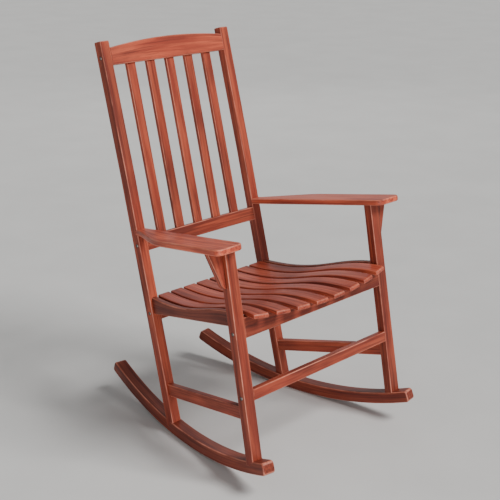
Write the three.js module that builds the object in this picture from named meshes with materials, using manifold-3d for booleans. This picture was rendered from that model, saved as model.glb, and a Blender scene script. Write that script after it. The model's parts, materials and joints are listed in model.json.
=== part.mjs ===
// A slatted porch rocking chair in stained hardwood, as a scene graph of separate pieces.
// Millimetres. +X is the sitter's left, +Y is behind the chair and +Z is up.
// The origin is on the floor, midway between the rockers and halfway along them.
// Side pieces are made for the left side and mirrored, so both sides stay alike.
import * as THREE from 'three';
import { mergeVertices } from 'three/addons/utils/BufferGeometryUtils.js';
import Module from 'manifold-3d';

const wasm = await Module();
wasm.setup();

// ---------------------------------------------------------------- driving dimensions
const GAP = 0.3;                    // clearance between touching pieces
const CHAIR_HEIGHT = 1100;          // floor to the front edge of the post tops
const FRONT_WIDTH = 609;            // over the front legs
const REAR_WIDTH = 485;             // over the back posts

const ROCKER_SPAN = 788;            // front to back over the rockers
const ROCKER_RADIUS = 1097;         // running edge
const ROCKER_HEIGHT = 34;           // running edge to top edge
const ROCKER_THICKNESS = 37;
const ROCKER_CONTACT_Y = 6;         // where the running edge rests on the floor
const ROCKER_STEP = 32;             // length of one facet of the running edge

const LEG_WIDTH = 35.5;
const LEG_DEPTH = 28;               // measured level, front to back
const LEG_FOOT_Y = -353;            // front face carried down to the floor
const LEG_RAKE = 0.19;              // backward lean per unit of height

const POST_WIDTH = 31.5;
const POST_DEPTH = 30;
const POST_FOOT_Y = 44;
const POST_RAKE = 0.263;
const POST_BEND_HEIGHT = 730;       // where the posts lean back a little more
const POST_UPPER_RAKE = 0.28;

const RAIL_THICKNESS = 22;          // rails that run from side to side
const TENON_LENGTH = 8;             // stub tenons on the bolted rails
const TENON_SHOULDER = 5;
const CREST_DROP = 67.5;            // underside of the crest below the post tops
const CREST_END_HEIGHT = 50;
const CREST_ARCH = 14.5;            // extra height in the middle of the crest
const LOWER_RAIL_BOTTOM = 519.5;
const LOWER_RAIL_HEIGHT = 38.5;
const LOWER_RAIL_BOW = 8;           // set back in the middle
const REAR_SEAT_RAIL_BOTTOM = 325;
const APRON_BOTTOM = 408.5;
const APRON_TENON_HEIGHT = 34;
const FRONT_STRETCHER_BOTTOM = 244;
const FRONT_STRETCHER_HEIGHT = 29;

const BACK_SLATS = 5;
const BACK_SLAT_WIDTH = 30;
const BACK_SLAT_THICKNESS = 12;
const BACK_SLAT_GAP = 42;
const BACK_SLAT_SETBACK = 7;         // front face behind the front of the rails
const BACK_SLAT_TENON = 10;

const SEAT_SLATS = 8;
const SEAT_SLAT_WIDTH = 45;
const SEAT_SLAT_THICKNESS = 13;
const SEAT_STATIONS = 14;           // straight facets along the curve of the seat
const SEAT_NOSE_RADIUS = 7;
const SEAT_NOSE_UNDERSIDE = 5;      // rounding of the lower edge of the nose
const NOSE_STEPS = 4;
const SEAT_FRONT_HEIGHT = 465;      // top of the middle slats at the front edge
const SEAT_REAR_HEIGHT = 384;
const SEAT_DIP = 8;                 // hollow in front of the back, below the plain curve
const SEAT_DIP_END = 0.8;           // share of the depth over which the hollow fades out
const SEAT_DISH = 12;               // rise of the outer slats above the middle ones
const SEAT_OVERHANG = 62.5;         // front edge ahead of the front legs, in the middle
const SEAT_FRONT_BOW = 32;          // outer slats end this much further back
const SEAT_REAR_OVERLAP = 22;       // rear edge behind the front faces of the posts
const SEAT_REAR_BOW = 14;
const SEAT_LEG_CLEARANCE = 6.4;
const SEAT_POST_CLEARANCE = 4.4;
const SEAT_BED_GAP = 0.8;             // clearance under the curved slats
const BEARER_PLACE = 0.45;          // middle bearer, as a share of the seat depth from the rear
const BEARER_WIDTH = 22;
const BEARER_HEIGHT = 15;
const BEARER_HOUSING = 5;

const SIDE_RAIL_THICKNESS = 18;
const SIDE_RAIL_REAR_INSET = 8;     // outer face inside the outer face of the post
const SIDE_RAIL_FRONT_INSET = 17.5; // and inside the outer face of the front leg
const SIDE_RAIL_BOTTOM_REAR = 342.5;
const SIDE_RAIL_BOTTOM_FRONT = 433;
const SIDE_TENON_LENGTH = 9;
const SIDE_TENON_THICKNESS = 8;
const SIDE_RAIL_TENON_HEIGHT = 26;
const STRETCHER_THICKNESS = 20;
const STRETCHER_HEIGHT = 35.5;
const STRETCHER_BOTTOM_REAR = 111;
const STRETCHER_BOTTOM_FRONT = 192;
const STRETCHER_TENON_HEIGHT = 24;
const STRETCHER_TENON_LENGTH = 14;

const ARM_THICKNESS = 17;
const ARM_REAR_HEIGHT = 583;        // top face where it meets the post
const ARM_SLOPE = 0.178;            // rise per unit of length towards the front
const ARM_WIDTH = 90;
const ARM_FRONT_OVERHANG = 39;      // ahead of the front leg
const ARM_INNER_SETBACK = 2;        // inner edge outside the inner face of the leg
const ARM_SWEEP = 197;              // length of the curved outer edge from the post
const ARM_CORNER = 20;
const ARM_TENON_LENGTH = 9;
const ARM_TENON_SHOULDER = 6;

const CORBEL_TOP_WIDTH = 45;
const CORBEL_FOOT_WIDTH = 16;
const CORBEL_HEIGHT = 96;
const CORBEL_TAPER = 81;            // height over which the outer edge slopes
const CORBEL_THICKNESS = 15.5;

const BOLT_INSET = 12;              // bolt axis behind the front faces
const BOLT_RADIUS = 3;
const BOLT_HEAD_RADIUS = 4.6;
const BOLT_HEAD_SINK = 3;
const BOLT_HEAD_PROUD = 1.2;
const BOLT_PAST_NUT = 4;
const NUT_RADIUS = 5;
const NUT_LENGTH = 15;
const NUT_SETBACK = 30;             // nut axis from the end of its rail
const FOOT_SCREW_GRIP = 44;         // length in the leg
const FOOT_SCREW_SINK = 8;
const ARM_SCREW_GRIP = 34;

// ---------------------------------------------------------------- solids and meshes
const X = new THREE.Vector3(1, 0, 0);
const Y = new THREE.Vector3(0, 1, 0);
const Z = new THREE.Vector3(0, 0, 1);

function solid(geometry) {
  const bare = geometry.index ? geometry.toNonIndexed() : geometry.clone();
  bare.deleteAttribute('normal');
  bare.deleteAttribute('uv');
  const merged = mergeVertices(bare, 1e-4);
  const vertProperties = new Float32Array(merged.attributes.position.array);
  const triVerts = new Uint32Array(merged.index.array);
  return new wasm.Manifold(new wasm.Mesh({ numProp: 3, vertProperties, triVerts }));
}

function surface(body) {
  const mesh = body.getMesh();
  const geometry = new THREE.BufferGeometry();
  geometry.setAttribute('position', new THREE.BufferAttribute(mesh.vertProperties, 3));
  geometry.setIndex(new THREE.BufferAttribute(mesh.triVerts, 1));
  return geometry;
}

function cut(body, ...tools) {
  return tools.flat().reduce((left, tool) => left.subtract(tool), body);
}

function join(body, ...others) {
  return others.flat().reduce((sum, other) => sum.add(other), body);
}

function mirrored(body) {
  const mesh = body.getMesh();
  const vertProperties = mesh.vertProperties.map((value, i) => (i % 3 === 0 ? -value : value));
  const triVerts = mesh.triVerts.slice();
  for (let i = 0; i < triVerts.length; i += 3) {
    [triVerts[i], triVerts[i + 1]] = [triVerts[i + 1], triVerts[i]];
  }
  return new wasm.Manifold(new wasm.Mesh({ numProp: 3, vertProperties, triVerts }));
}

const bothSides = (body) => [body, mirrored(body)];

function block(x0, x1, y0, y1, z0, z1) {
  const box = new THREE.BoxGeometry(x1 - x0, y1 - y0, z1 - z0);
  return box.translate((x0 + x1) / 2, (y0 + y1) / 2, (z0 + z1) / 2);
}

// A closed outline, [a, b] or [a, b, radius] per corner, with the corners rounded.
function outline(corners, steps = 5) {
  const points = [];
  corners.forEach(([a, b, radius = 0], i) => {
    const corner = new THREE.Vector2(a, b);
    if (!radius) {
      points.push(corner);
      return;
    }
    const near = (j) => {
      const [p, q] = corners[(i + j + corners.length) % corners.length];
      return new THREE.Vector2(p, q).sub(corner).normalize();
    };
    const [before, after] = [near(-1), near(1)];
    const half = before.angleTo(after) / 2;
    const reach = radius / Math.tan(half);
    const middle = before.clone().add(after).normalize().multiplyScalar(radius / Math.sin(half));
    const centre = corner.clone().add(middle);
    const start = corner.clone().addScaledVector(before, reach).sub(centre);
    const turn = (Math.PI - 2 * half) * Math.sign(before.cross(after)) * -1;
    for (let k = 0; k <= steps; k += 1) {
      const spoke = start.clone().rotateAround(new THREE.Vector2(), (turn * k) / steps);
      points.push(centre.clone().add(spoke));
    }
  });
  return points;
}

function extruded(points, depth, right, up, origin) {
  const flat = points.map((p) => (p.isVector2 ? p : new THREE.Vector2(...p)));
  const geometry = new THREE.ExtrudeGeometry(new THREE.Shape(flat), { depth, bevelEnabled: false });
  const out = right.clone().cross(up);
  const place = new THREE.Matrix4().makeBasis(right, up, out).setPosition(origin);
  return geometry.applyMatrix4(place);
}

// A board seen from the side, [y, z] per corner, filling x0 to x1.
const sideBoard = (points, x0, x1) => extruded(points, x1 - x0, Y, Z, new THREE.Vector3(x0, 0, 0));

// A leaning frame: x across, y square to the leaning face, z along it.
function leaning(rake, y, z) {
  const turn = new THREE.Matrix4().makeRotationX(-Math.atan(rake));
  return new THREE.Matrix4().makeTranslation(0, y, z).multiply(turn);
}

const along = (rake, height) => height * Math.hypot(1, rake);

// ---------------------------------------------------------------- guide lines
const legFront = (z) => LEG_FOOT_Y + LEG_RAKE * z;
const legRear = (z) => legFront(z) + LEG_DEPTH;

function postFront(z) {
  const lower = Math.min(z, POST_BEND_HEIGHT);
  return POST_FOOT_Y + POST_RAKE * lower + POST_UPPER_RAKE * (z - lower);
}

const CREST_BOTTOM = CHAIR_HEIGHT - CREST_DROP;
const LEG_OUTER = FRONT_WIDTH / 2;
const LEG_INNER = LEG_OUTER - LEG_WIDTH;
const POST_OUTER = REAR_WIDTH / 2;
const POST_INNER = POST_OUTER - POST_WIDTH;

const legFrame = leaning(LEG_RAKE, LEG_FOOT_Y, 0);
const lowerBackFrame = leaning(POST_RAKE, POST_FOOT_Y, 0);
const upperBackFrame = leaning(POST_UPPER_RAKE, postFront(POST_BEND_HEIGHT), POST_BEND_HEIGHT);

const ARM_REAR_Y = postFront(ARM_REAR_HEIGHT);
const ARM_DROP = ARM_THICKNESS * Math.hypot(1, ARM_SLOPE);
const armTop = (y) => ARM_REAR_HEIGHT + ARM_SLOPE * (ARM_REAR_Y - y);
const armUnder = (y) => armTop(y) - ARM_DROP;

// Height at which a line on the leg, set back from its front face, meets the arm.
function legMeetsArm(setback) {
  const level = armUnder(LEG_FOOT_Y + setback);
  return level / (1 + ARM_SLOPE * LEG_RAKE);
}

// Regions used to trim pieces reach past the whole chair, whatever its size.
const REACH = CHAIR_HEIGHT + FRONT_WIDTH;
const legFrontRegion = (offset, x0, x1) => solid(sideBoard([
  [legFront(0) + offset - REACH, 0], [legFront(0) + offset, 0],
  [legFront(CHAIR_HEIGHT) + offset, CHAIR_HEIGHT],
  [legFront(CHAIR_HEIGHT) + offset - REACH, CHAIR_HEIGHT],
], x0, x1));
const postRearRegion = (offset, x0, x1) => solid(sideBoard([
  [postFront(0) + offset, 0], [postFront(0) + offset + REACH, 0],
  [postFront(POST_BEND_HEIGHT) + offset + REACH, POST_BEND_HEIGHT],
  [postFront(POST_BEND_HEIGHT) + offset, POST_BEND_HEIGHT],
], x0, x1));
const aboveArmUnderside = () => solid(sideBoard([
  [-REACH, armUnder(-REACH) - GAP], [REACH, armUnder(REACH) - GAP],
  [REACH, armUnder(-REACH) + REACH], [-REACH, armUnder(-REACH) + REACH],
], 0, REACH));

// ---------------------------------------------------------------- seat surface
const SEAT_FRONT_Y = legFront(SEAT_FRONT_HEIGHT) - SEAT_OVERHANG;
const SEAT_REAR_Y = postFront(SEAT_REAR_HEIGHT) + SEAT_REAR_OVERLAP;
const SEAT_FRONT_HALF = LEG_INNER - SEAT_LEG_CLEARANCE;
const SEAT_REAR_HALF = POST_INNER - SEAT_POST_CLEARANCE;
const SEAT_LENGTH = SEAT_REAR_Y - SEAT_FRONT_Y;

const seatFront = (x) => SEAT_FRONT_Y + SEAT_FRONT_BOW * (x / SEAT_FRONT_HALF) ** 2;
const seatRear = (x) => SEAT_REAR_Y - SEAT_REAR_BOW * (x / SEAT_REAR_HALF) ** 2;

// Height of the seat at a share of its depth, 0 at the rear and 1 at the front.
function seatHeight(share) {
  const rise = share * share * (3 - 2 * share);
  const hollow = Math.sin(Math.PI * Math.min(share / SEAT_DIP_END, 1)) ** 2;
  return THREE.MathUtils.lerp(SEAT_REAR_HEIGHT, SEAT_FRONT_HEIGHT, rise) - SEAT_DIP * hollow;
}

// A point of the dished seat: x across, a share of the depth and a depth below the top.
function seatPoint(x, share, below) {
  const y = THREE.MathUtils.lerp(seatRear(x), seatFront(x), share);
  const z = seatHeight(share) + SEAT_DISH * (x / SEAT_FRONT_HALF) ** 2 - below;
  return new THREE.Vector3(x, y, z);
}

// Moves every vertex of a blank given as x, share of depth and height above the top.
// The share runs forward, so the blank is mirrored across to keep its faces outward.
function onSeat(geometry, lane = (x) => x) {
  const place = geometry.attributes.position;
  for (let i = 0; i < place.count; i += 1) {
    const share = place.getY(i);
    const point = seatPoint(-lane(place.getX(i), share), share, -place.getZ(i));
    place.setXYZ(i, point.x, point.y, point.z);
  }
  return geometry;
}

function seatBand(half, share0, share1, below0, below1) {
  const facets = Math.ceil((share1 - share0) * SEAT_STATIONS - 0.01);
  const blank = new THREE.BoxGeometry(2 * half, share1 - share0, below1 - below0, 24, facets, 1);
  blank.translate(0, (share0 + share1) / 2, -(below0 + below1) / 2);
  return solid(onSeat(blank));
}

const overSeatUnderside = seatBand(
  LEG_OUTER, -2 / SEAT_STATIONS, 1 + 1 / SEAT_STATIONS, -60, SEAT_SLAT_THICKNESS + SEAT_BED_GAP,
);

// ---------------------------------------------------------------- boards set at an angle in plan
// The outer face of a left-hand board runs through two points of the plan.
function slanted(front, rear) {
  const back = new THREE.Vector3(rear[0] - front[0], rear[1] - front[1], 0).normalize();
  return {
    back,
    out: back.clone().cross(Z),
    origin: new THREE.Vector3(front[0], front[1], 0),
    at: (y) => (y - front[1]) / back.y,
    xAt: (y) => front[0] + ((y - front[1]) / back.y) * back.x,
  };
}

// Corners are [y, z] on the outer face line; the board fills depth0 to depth1 inside it.
function slantedBoard(line, points, depth0, depth1) {
  const flat = points.map(([y, z]) => [line.at(y), z]);
  const start = line.origin.clone().addScaledVector(line.out, -depth1);
  return solid(extruded(flat, depth1 - depth0, line.back, Z, start));
}

const legMiddle = legFront(ROCKER_HEIGHT * 2) + LEG_DEPTH / 2;
const postMiddle = postFront(ROCKER_HEIGHT) + POST_DEPTH / 2;
const rockerLine = slanted([LEG_OUTER, legMiddle], [POST_OUTER, postMiddle]);

const railRearY = postFront(SEAT_REAR_HEIGHT);
const railFrontY = legRear(SEAT_FRONT_HEIGHT);
const sideRailLine = slanted(
  [LEG_OUTER - SIDE_RAIL_FRONT_INSET, railFrontY],
  [POST_OUTER - SIDE_RAIL_REAR_INSET, railRearY],
);
const stretcherLine = slanted(
  [LEG_OUTER - (LEG_WIDTH - STRETCHER_THICKNESS) / 2, legRear(STRETCHER_BOTTOM_FRONT)],
  [POST_OUTER - (POST_WIDTH - STRETCHER_THICKNESS) / 2, postFront(STRETCHER_BOTTOM_REAR)],
);

// ---------------------------------------------------------------- rockers
const rockerHeel = ROCKER_CONTACT_Y;
const heelOffset = rockerLine.at(rockerHeel);

// Points of one edge of the rocker, as [along, z], tangent to an arc of the given radius.
function rockerEdge(radius, from, to) {
  const step = ROCKER_STEP / ROCKER_RADIUS;
  const swing = (distance) => Math.asin(distance / ROCKER_RADIUS);
  const spoke = (angle, r) => [r * Math.sin(angle), ROCKER_RADIUS - r * Math.cos(angle)];
  const points = [spoke(swing(from), radius)];
  for (let k = Math.ceil(swing(from) / step) + 0.5; k * step < swing(to) - step / 2; k += 1) {
    points.push(spoke(k * step, radius / Math.cos(step / 2)));
  }
  points.push(spoke(swing(to), radius));
  return points;
}

function rockerBody(rise, spread) {
  const { back } = rockerLine;
  const toe = Math.abs(back.x) * ROCKER_THICKNESS;
  const from = (-ROCKER_SPAN / 2 - rockerHeel + toe) / back.y;
  const to = (ROCKER_SPAN / 2 - rockerHeel) / back.y;
  const running = rockerEdge(ROCKER_RADIUS, from, to);
  const upper = rockerEdge(ROCKER_RADIUS - ROCKER_HEIGHT - rise, from, to);
  const ease = (points, first, last) => points.map((p, i, all) => {
    if (i === 0) return [...p, first];
    return i === all.length - 1 ? [...p, last] : p;
  });
  const corners = [...ease(running, 7, 9), ...ease(upper, 9, 12).reverse()];
  const start = rockerLine.origin.clone()
    .addScaledVector(rockerLine.back, heelOffset)
    .addScaledVector(rockerLine.out, -ROCKER_THICKNESS - spread);
  const depth = ROCKER_THICKNESS + 2 * spread;
  return solid(extruded(outline(corners, 4), depth, rockerLine.back, Z, start));
}

// ---------------------------------------------------------------- turned hardware
// A solid of revolution, [radius, along] per point, from a place along a direction.
function turned(points, from, direction, sides = 12) {
  const lathe = new THREE.LatheGeometry(points.map((p) => new THREE.Vector2(...p)), sides);
  const turn = new THREE.Quaternion().setFromUnitVectors(Y, direction);
  const place = new THREE.Matrix4().compose(from, turn, new THREE.Vector3(1, 1, 1));
  return solid(lathe.applyMatrix4(place));
}

// Bolt along its axis; 0 is the outer face of the post or leg.
function boltBody(from, direction, length) {
  const [r, head] = [BOLT_RADIUS, BOLT_HEAD_RADIUS];
  const socket = r - 0.4;
  return turned([
    [0, 2], [socket, 2], [socket, -BOLT_HEAD_PROUD], [head - 1.4, -BOLT_HEAD_PROUD],
    [head, 0.4], [head, BOLT_HEAD_SINK], [r, BOLT_HEAD_SINK],
    [r, length - 1], [r - 1, length], [0, length],
  ], from, direction, 16);
}

function boltHole(from, direction, length) {
  const [r, head] = [BOLT_RADIUS + GAP, BOLT_HEAD_RADIUS + GAP];
  return turned([
    [0, -9], [head, -9], [head, BOLT_HEAD_SINK + GAP], [r, BOLT_HEAD_SINK + GAP],
    [r, length + 1], [0, length + 1],
  ], from, direction, 16);
}

// Flat-headed screw; 0 is the outside of its head.
function screwBody(from, direction, length) {
  const [r, head] = [BOLT_RADIUS - 0.5, BOLT_HEAD_RADIUS];
  return turned([
    [0, 0], [head, 0], [head, 2], [r, 4], [r, length - 5], [0.6, length], [0, length],
  ], from, direction);
}

function screwHole(from, direction, length, sink) {
  const [r, head] = [BOLT_RADIUS - 0.5 + GAP, BOLT_HEAD_RADIUS + GAP];
  return turned([
    [0, -sink - 12], [head, -sink - 12], [head, 2], [r, 4 + GAP],
    [r, length + 1], [0, length + 1],
  ], from, direction);
}

const axisOf = (frame, axis) => axis.clone().transformDirection(frame);
const placeIn = (frame, x, y, z) => new THREE.Vector3(x, y, z).applyMatrix4(frame);

// A bolt through an upright at a height above the foot of its frame, and its barrel nut.
function boltedJoint(frame, outer, width, height) {
  const length = width + NUT_SETBACK + NUT_RADIUS + BOLT_PAST_NUT;
  const from = placeIn(frame, outer, BOLT_INSET, height);
  const inward = X.clone().negate();
  const backward = axisOf(frame, Y);
  const nutX = outer - width - NUT_SETBACK;
  const nutFrom = placeIn(frame, nutX, BOLT_INSET - NUT_LENGTH / 2, height);
  const holeFrom = placeIn(frame, nutX, BOLT_INSET - NUT_LENGTH / 2 - GAP, height);
  const barrel = (r, l, at) => turned([[0, 0], [r, 0], [r, l], [0, l]], at, backward, 16);
  const hole = boltHole(from, inward, length);
  return {
    bolt: boltBody(from, inward, length),
    nut: barrel(NUT_RADIUS, NUT_LENGTH, nutFrom).subtract(hole),
    hole,
    nutHole: barrel(NUT_RADIUS + GAP, NUT_LENGTH + 3 * RAIL_THICKNESS, holeFrom),
  };
}

// ---------------------------------------------------------------- bolted joints
const legHeight = (z) => along(LEG_RAKE, z);
const postHeight = (z) => along(POST_RAKE, z);
const upperHeight = (z) => along(POST_UPPER_RAKE, z - POST_BEND_HEIGHT);
const apronMiddle = APRON_BOTTOM + TENON_SHOULDER + APRON_TENON_HEIGHT * 0.4;
const rearSeatMiddle = REAR_SEAT_RAIL_BOTTOM + 23;
const crestMiddle = CREST_BOTTOM + CREST_END_HEIGHT * 0.45;

const joints = {
  apron: boltedJoint(legFrame, LEG_OUTER, LEG_WIDTH, legHeight(apronMiddle)),
  stretcher: boltedJoint(
    legFrame, LEG_OUTER, LEG_WIDTH,
    legHeight(FRONT_STRETCHER_BOTTOM + FRONT_STRETCHER_HEIGHT / 2),
  ),
  seat: boltedJoint(lowerBackFrame, POST_OUTER, POST_WIDTH, postHeight(rearSeatMiddle)),
  lowerBack: boltedJoint(
    lowerBackFrame, POST_OUTER, POST_WIDTH,
    postHeight(LOWER_RAIL_BOTTOM + LOWER_RAIL_HEIGHT / 2),
  ),
  crest: boltedJoint(upperBackFrame, POST_OUTER, POST_WIDTH, upperHeight(crestMiddle)),
};

// ---------------------------------------------------------------- rails between the sides
const placed = (frame, ...sides) => solid(block(...sides).applyMatrix4(frame));

// Stub tenons at both ends, or their mortises when grown by the clearance.
function stubTenons(frame, inner, z0, z1, grow) {
  const end = inner + TENON_LENGTH + grow;
  const tenon = placed(
    frame, inner - 6, end, TENON_SHOULDER - grow, RAIL_THICKNESS - TENON_SHOULDER + grow,
    z0 + TENON_SHOULDER - grow, z1 - TENON_SHOULDER + grow,
  );
  return bothSides(tenon);
}

const joinery = {
  apron: (grow) => stubTenons(
    legFrame, LEG_INNER, legHeight(APRON_BOTTOM),
    legHeight(APRON_BOTTOM) + APRON_TENON_HEIGHT + TENON_SHOULDER, grow,
  ),
  stretcher: (grow) => stubTenons(
    legFrame, LEG_INNER, legHeight(FRONT_STRETCHER_BOTTOM),
    legHeight(FRONT_STRETCHER_BOTTOM + FRONT_STRETCHER_HEIGHT), grow,
  ),
  seat: (grow) => stubTenons(
    lowerBackFrame, POST_INNER, postHeight(REAR_SEAT_RAIL_BOTTOM),
    postHeight(rearSeatMiddle + (rearSeatMiddle - REAR_SEAT_RAIL_BOTTOM)), grow,
  ),
  lowerBack: (grow) => stubTenons(
    lowerBackFrame, POST_INNER, postHeight(LOWER_RAIL_BOTTOM),
    postHeight(LOWER_RAIL_BOTTOM + LOWER_RAIL_HEIGHT), grow,
  ),
  crest: (grow) => stubTenons(
    upperBackFrame, POST_INNER, upperHeight(CREST_BOTTOM),
    upperHeight(CREST_BOTTOM) + CREST_END_HEIGHT, grow,
  ),
};

function boltedRail(body, key) {
  const { hole, nutHole } = joints[key];
  return cut(join(body, joinery[key](0)), bothSides(hole), bothSides(nutHole));
}

function frontApron() {
  const half = LEG_INNER - GAP;
  const bottom = legHeight(APRON_BOTTOM);
  const top = legHeight(SEAT_FRONT_HEIGHT + SEAT_DISH);
  const board = placed(legFrame, -half, half, 0, RAIL_THICKNESS, bottom, top);
  return boltedRail(board.subtract(overSeatUnderside), 'apron');
}

function frontStretcher() {
  const half = LEG_INNER - GAP;
  const bottom = legHeight(FRONT_STRETCHER_BOTTOM);
  const top = legHeight(FRONT_STRETCHER_BOTTOM + FRONT_STRETCHER_HEIGHT);
  return boltedRail(placed(legFrame, -half, half, 0, RAIL_THICKNESS, bottom, top), 'stretcher');
}

function rearSeatRail() {
  const half = POST_INNER - GAP;
  const bottom = postHeight(REAR_SEAT_RAIL_BOTTOM);
  const top = postHeight(SEAT_REAR_HEIGHT + SEAT_DISH);
  const board = placed(lowerBackFrame, -half, half, 0, RAIL_THICKNESS, bottom, top);
  return boltedRail(board.subtract(overSeatUnderside), 'seat');
}

const lowerRailSetback = (x) => LOWER_RAIL_BOW * (1 - (x / POST_INNER) ** 2);

function lowerBackRail() {
  const half = POST_INNER - GAP;
  const front = [];
  const rear = [];
  for (let k = 0; k <= 16; k += 1) {
    const x = -half + (2 * half * k) / 16;
    front.push([x, lowerRailSetback(x)]);
    rear.unshift([x, lowerRailSetback(x) + RAIL_THICKNESS]);
  }
  const from = new THREE.Vector3(0, 0, postHeight(LOWER_RAIL_BOTTOM));
  const height = postHeight(LOWER_RAIL_HEIGHT);
  const board = extruded([...front, ...rear], height, X, Y, from);
  const rail = boltedRail(solid(board.applyMatrix4(lowerBackFrame)), 'lowerBack');
  return cut(rail, slatNumbers.map((k) => backSlatTenon(k, GAP, 'lower')));
}

function crestRail() {
  const half = POST_INNER - GAP;
  const bottom = upperHeight(CREST_BOTTOM);
  const points = [[bottom, half], [bottom, -half]];
  for (let k = 0; k <= 20; k += 1) {
    const x = -half + (2 * half * k) / 20;
    points.push([bottom + CREST_END_HEIGHT + CREST_ARCH * (1 - (x / half) ** 2), x]);
  }
  const board = extruded(points, RAIL_THICKNESS, Z, X, new THREE.Vector3());
  const rail = boltedRail(solid(board.applyMatrix4(upperBackFrame)), 'crest');
  return cut(rail, slatNumbers.map((k) => backSlatTenon(k, GAP, 'upper')));
}

// ---------------------------------------------------------------- back slats
const slatNumbers = [...Array(BACK_SLATS).keys()];
const backSlatX = (k) => (k - (BACK_SLATS - 1) / 2) * (BACK_SLAT_WIDTH + BACK_SLAT_GAP);

// The slat's own frame, its foot on the lower rail and its length up to the crest rail.
function backSlatLine(k) {
  const x = backSlatX(k);
  const middle = BACK_SLAT_SETBACK + BACK_SLAT_THICKNESS / 2;
  const foot = placeIn(
    lowerBackFrame, x, lowerRailSetback(x) + middle,
    postHeight(LOWER_RAIL_BOTTOM + LOWER_RAIL_HEIGHT),
  );
  const head = placeIn(upperBackFrame, x, middle, upperHeight(CREST_BOTTOM));
  const rise = head.clone().sub(foot);
  return { x, frame: leaning(rise.y / rise.z, foot.y, foot.z), length: rise.length() };
}

function backSlatTenon(k, grow, end) {
  const { x, frame, length } = backSlatLine(k);
  const half = BACK_SLAT_WIDTH / 2 - 4 + grow;
  const deep = BACK_SLAT_THICKNESS / 2 - 2 + grow;
  const far = BACK_SLAT_TENON + grow;
  const [z0, z1] = end === 'lower' ? [-far, 5] : [length - 5, length + far];
  return placed(frame, x - half, x + half, -deep, deep, z0, z1);
}

function backSlat(k) {
  const { x, frame, length } = backSlatLine(k);
  const half = BACK_SLAT_WIDTH / 2;
  const deep = BACK_SLAT_THICKNESS / 2;
  const board = placed(frame, x - half, x + half, -deep, deep, GAP, length - GAP);
  return join(board, backSlatTenon(k, 0, 'lower'), backSlatTenon(k, 0, 'upper'));
}

// ---------------------------------------------------------------- seat
const slatPitch = (half) => (2 * half - SEAT_SLAT_WIDTH) / (SEAT_SLATS - 1);

// A slat before it is bent: width across, share of depth along and height above the top.
function slatBlank() {
  const rows = SEAT_STATIONS + NOSE_STEPS;
  const blank = new THREE.BoxGeometry(SEAT_SLAT_WIDTH, rows, 2, 1, rows, 1);
  const place = blank.attributes.position;
  const straight = SEAT_LENGTH - SEAT_NOSE_RADIUS;
  for (let i = 0; i < place.count; i += 1) {
    const row = Math.round(place.getY(i) + rows / 2);
    const turn = (Math.max(0, row - SEAT_STATIONS) / NOSE_STEPS) * (Math.PI / 2);
    const level = (straight * Math.min(row, SEAT_STATIONS)) / SEAT_STATIONS;
    const y = level + SEAT_NOSE_RADIUS * Math.sin(turn);
    const top = -SEAT_NOSE_RADIUS * (1 - Math.cos(turn));
    const bottom = -SEAT_SLAT_THICKNESS + SEAT_NOSE_UNDERSIDE * (1 - Math.cos(turn));
    place.setXYZ(i, place.getX(i), y / SEAT_LENGTH, place.getZ(i) > 0 ? top : bottom);
  }
  return blank;
}

function seatSlat(k) {
  const place = k - (SEAT_SLATS - 1) / 2;
  const [rear, front] = [slatPitch(SEAT_REAR_HALF), slatPitch(SEAT_FRONT_HALF)];
  const lane = (x, share) => x + place * THREE.MathUtils.lerp(rear, front, share);
  return solid(onSeat(slatBlank(), lane));
}

function seatBearer(grow) {
  const reach = BEARER_WIDTH / 2 / SEAT_LENGTH + grow / SEAT_LENGTH;
  const y = THREE.MathUtils.lerp(SEAT_REAR_Y, SEAT_FRONT_Y, BEARER_PLACE);
  const half = sideRailLine.xAt(y) - SIDE_RAIL_THICKNESS + BEARER_HOUSING + grow;
  const top = SEAT_SLAT_THICKNESS + SEAT_BED_GAP - grow;
  return seatBand(half, BEARER_PLACE - reach, BEARER_PLACE + reach, top, top + BEARER_HEIGHT + 2 * grow);
}

// Height of the outer edge of the slatted seat at a distance from front to back.
function seatEdgeHeight(y) {
  const [rear, front] = [seatRear(SEAT_REAR_HALF), seatFront(SEAT_FRONT_HALF)];
  const share = (rear - y) / (rear - front);
  const x = THREE.MathUtils.lerp(SEAT_REAR_HALF, SEAT_FRONT_HALF, share);
  return seatHeight(THREE.MathUtils.clamp(share, 0, 1)) + SEAT_DISH * (x / SEAT_FRONT_HALF) ** 2;
}

// A tenon on the end of a side board; face gives the shoulder line for each height.
function sideTenon(line, face, toward, z0, z1, depth0, depth1, length, grow) {
  const far = toward * (length + grow);
  const near = -toward * 2;
  const [low, high] = [z0 - grow, z1 + grow];
  return slantedBoard(line, [
    [face(low) + near, low], [face(low) + far, low],
    [face(high) + far, high], [face(high) + near, high],
  ], depth0 - grow, depth1 + grow);
}

const railTenonDepth = (SIDE_RAIL_THICKNESS - SIDE_TENON_THICKNESS) / 2;
const sideRailTenons = (grow) => [
  [legRear, -1, SIDE_RAIL_BOTTOM_FRONT],
  [postFront, 1, SIDE_RAIL_BOTTOM_REAR],
].map(([face, toward, bottom]) => sideTenon(
  sideRailLine, face, toward, bottom + 8, bottom + 8 + SIDE_RAIL_TENON_HEIGHT,
  railTenonDepth, railTenonDepth + SIDE_TENON_THICKNESS, SIDE_TENON_LENGTH, grow,
));

const betweenUprights = (body, reach) => cut(
  body,
  legFrontRegion(LEG_DEPTH + GAP, 0, reach),
  postRearRegion(-GAP, 0, reach),
);

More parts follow.
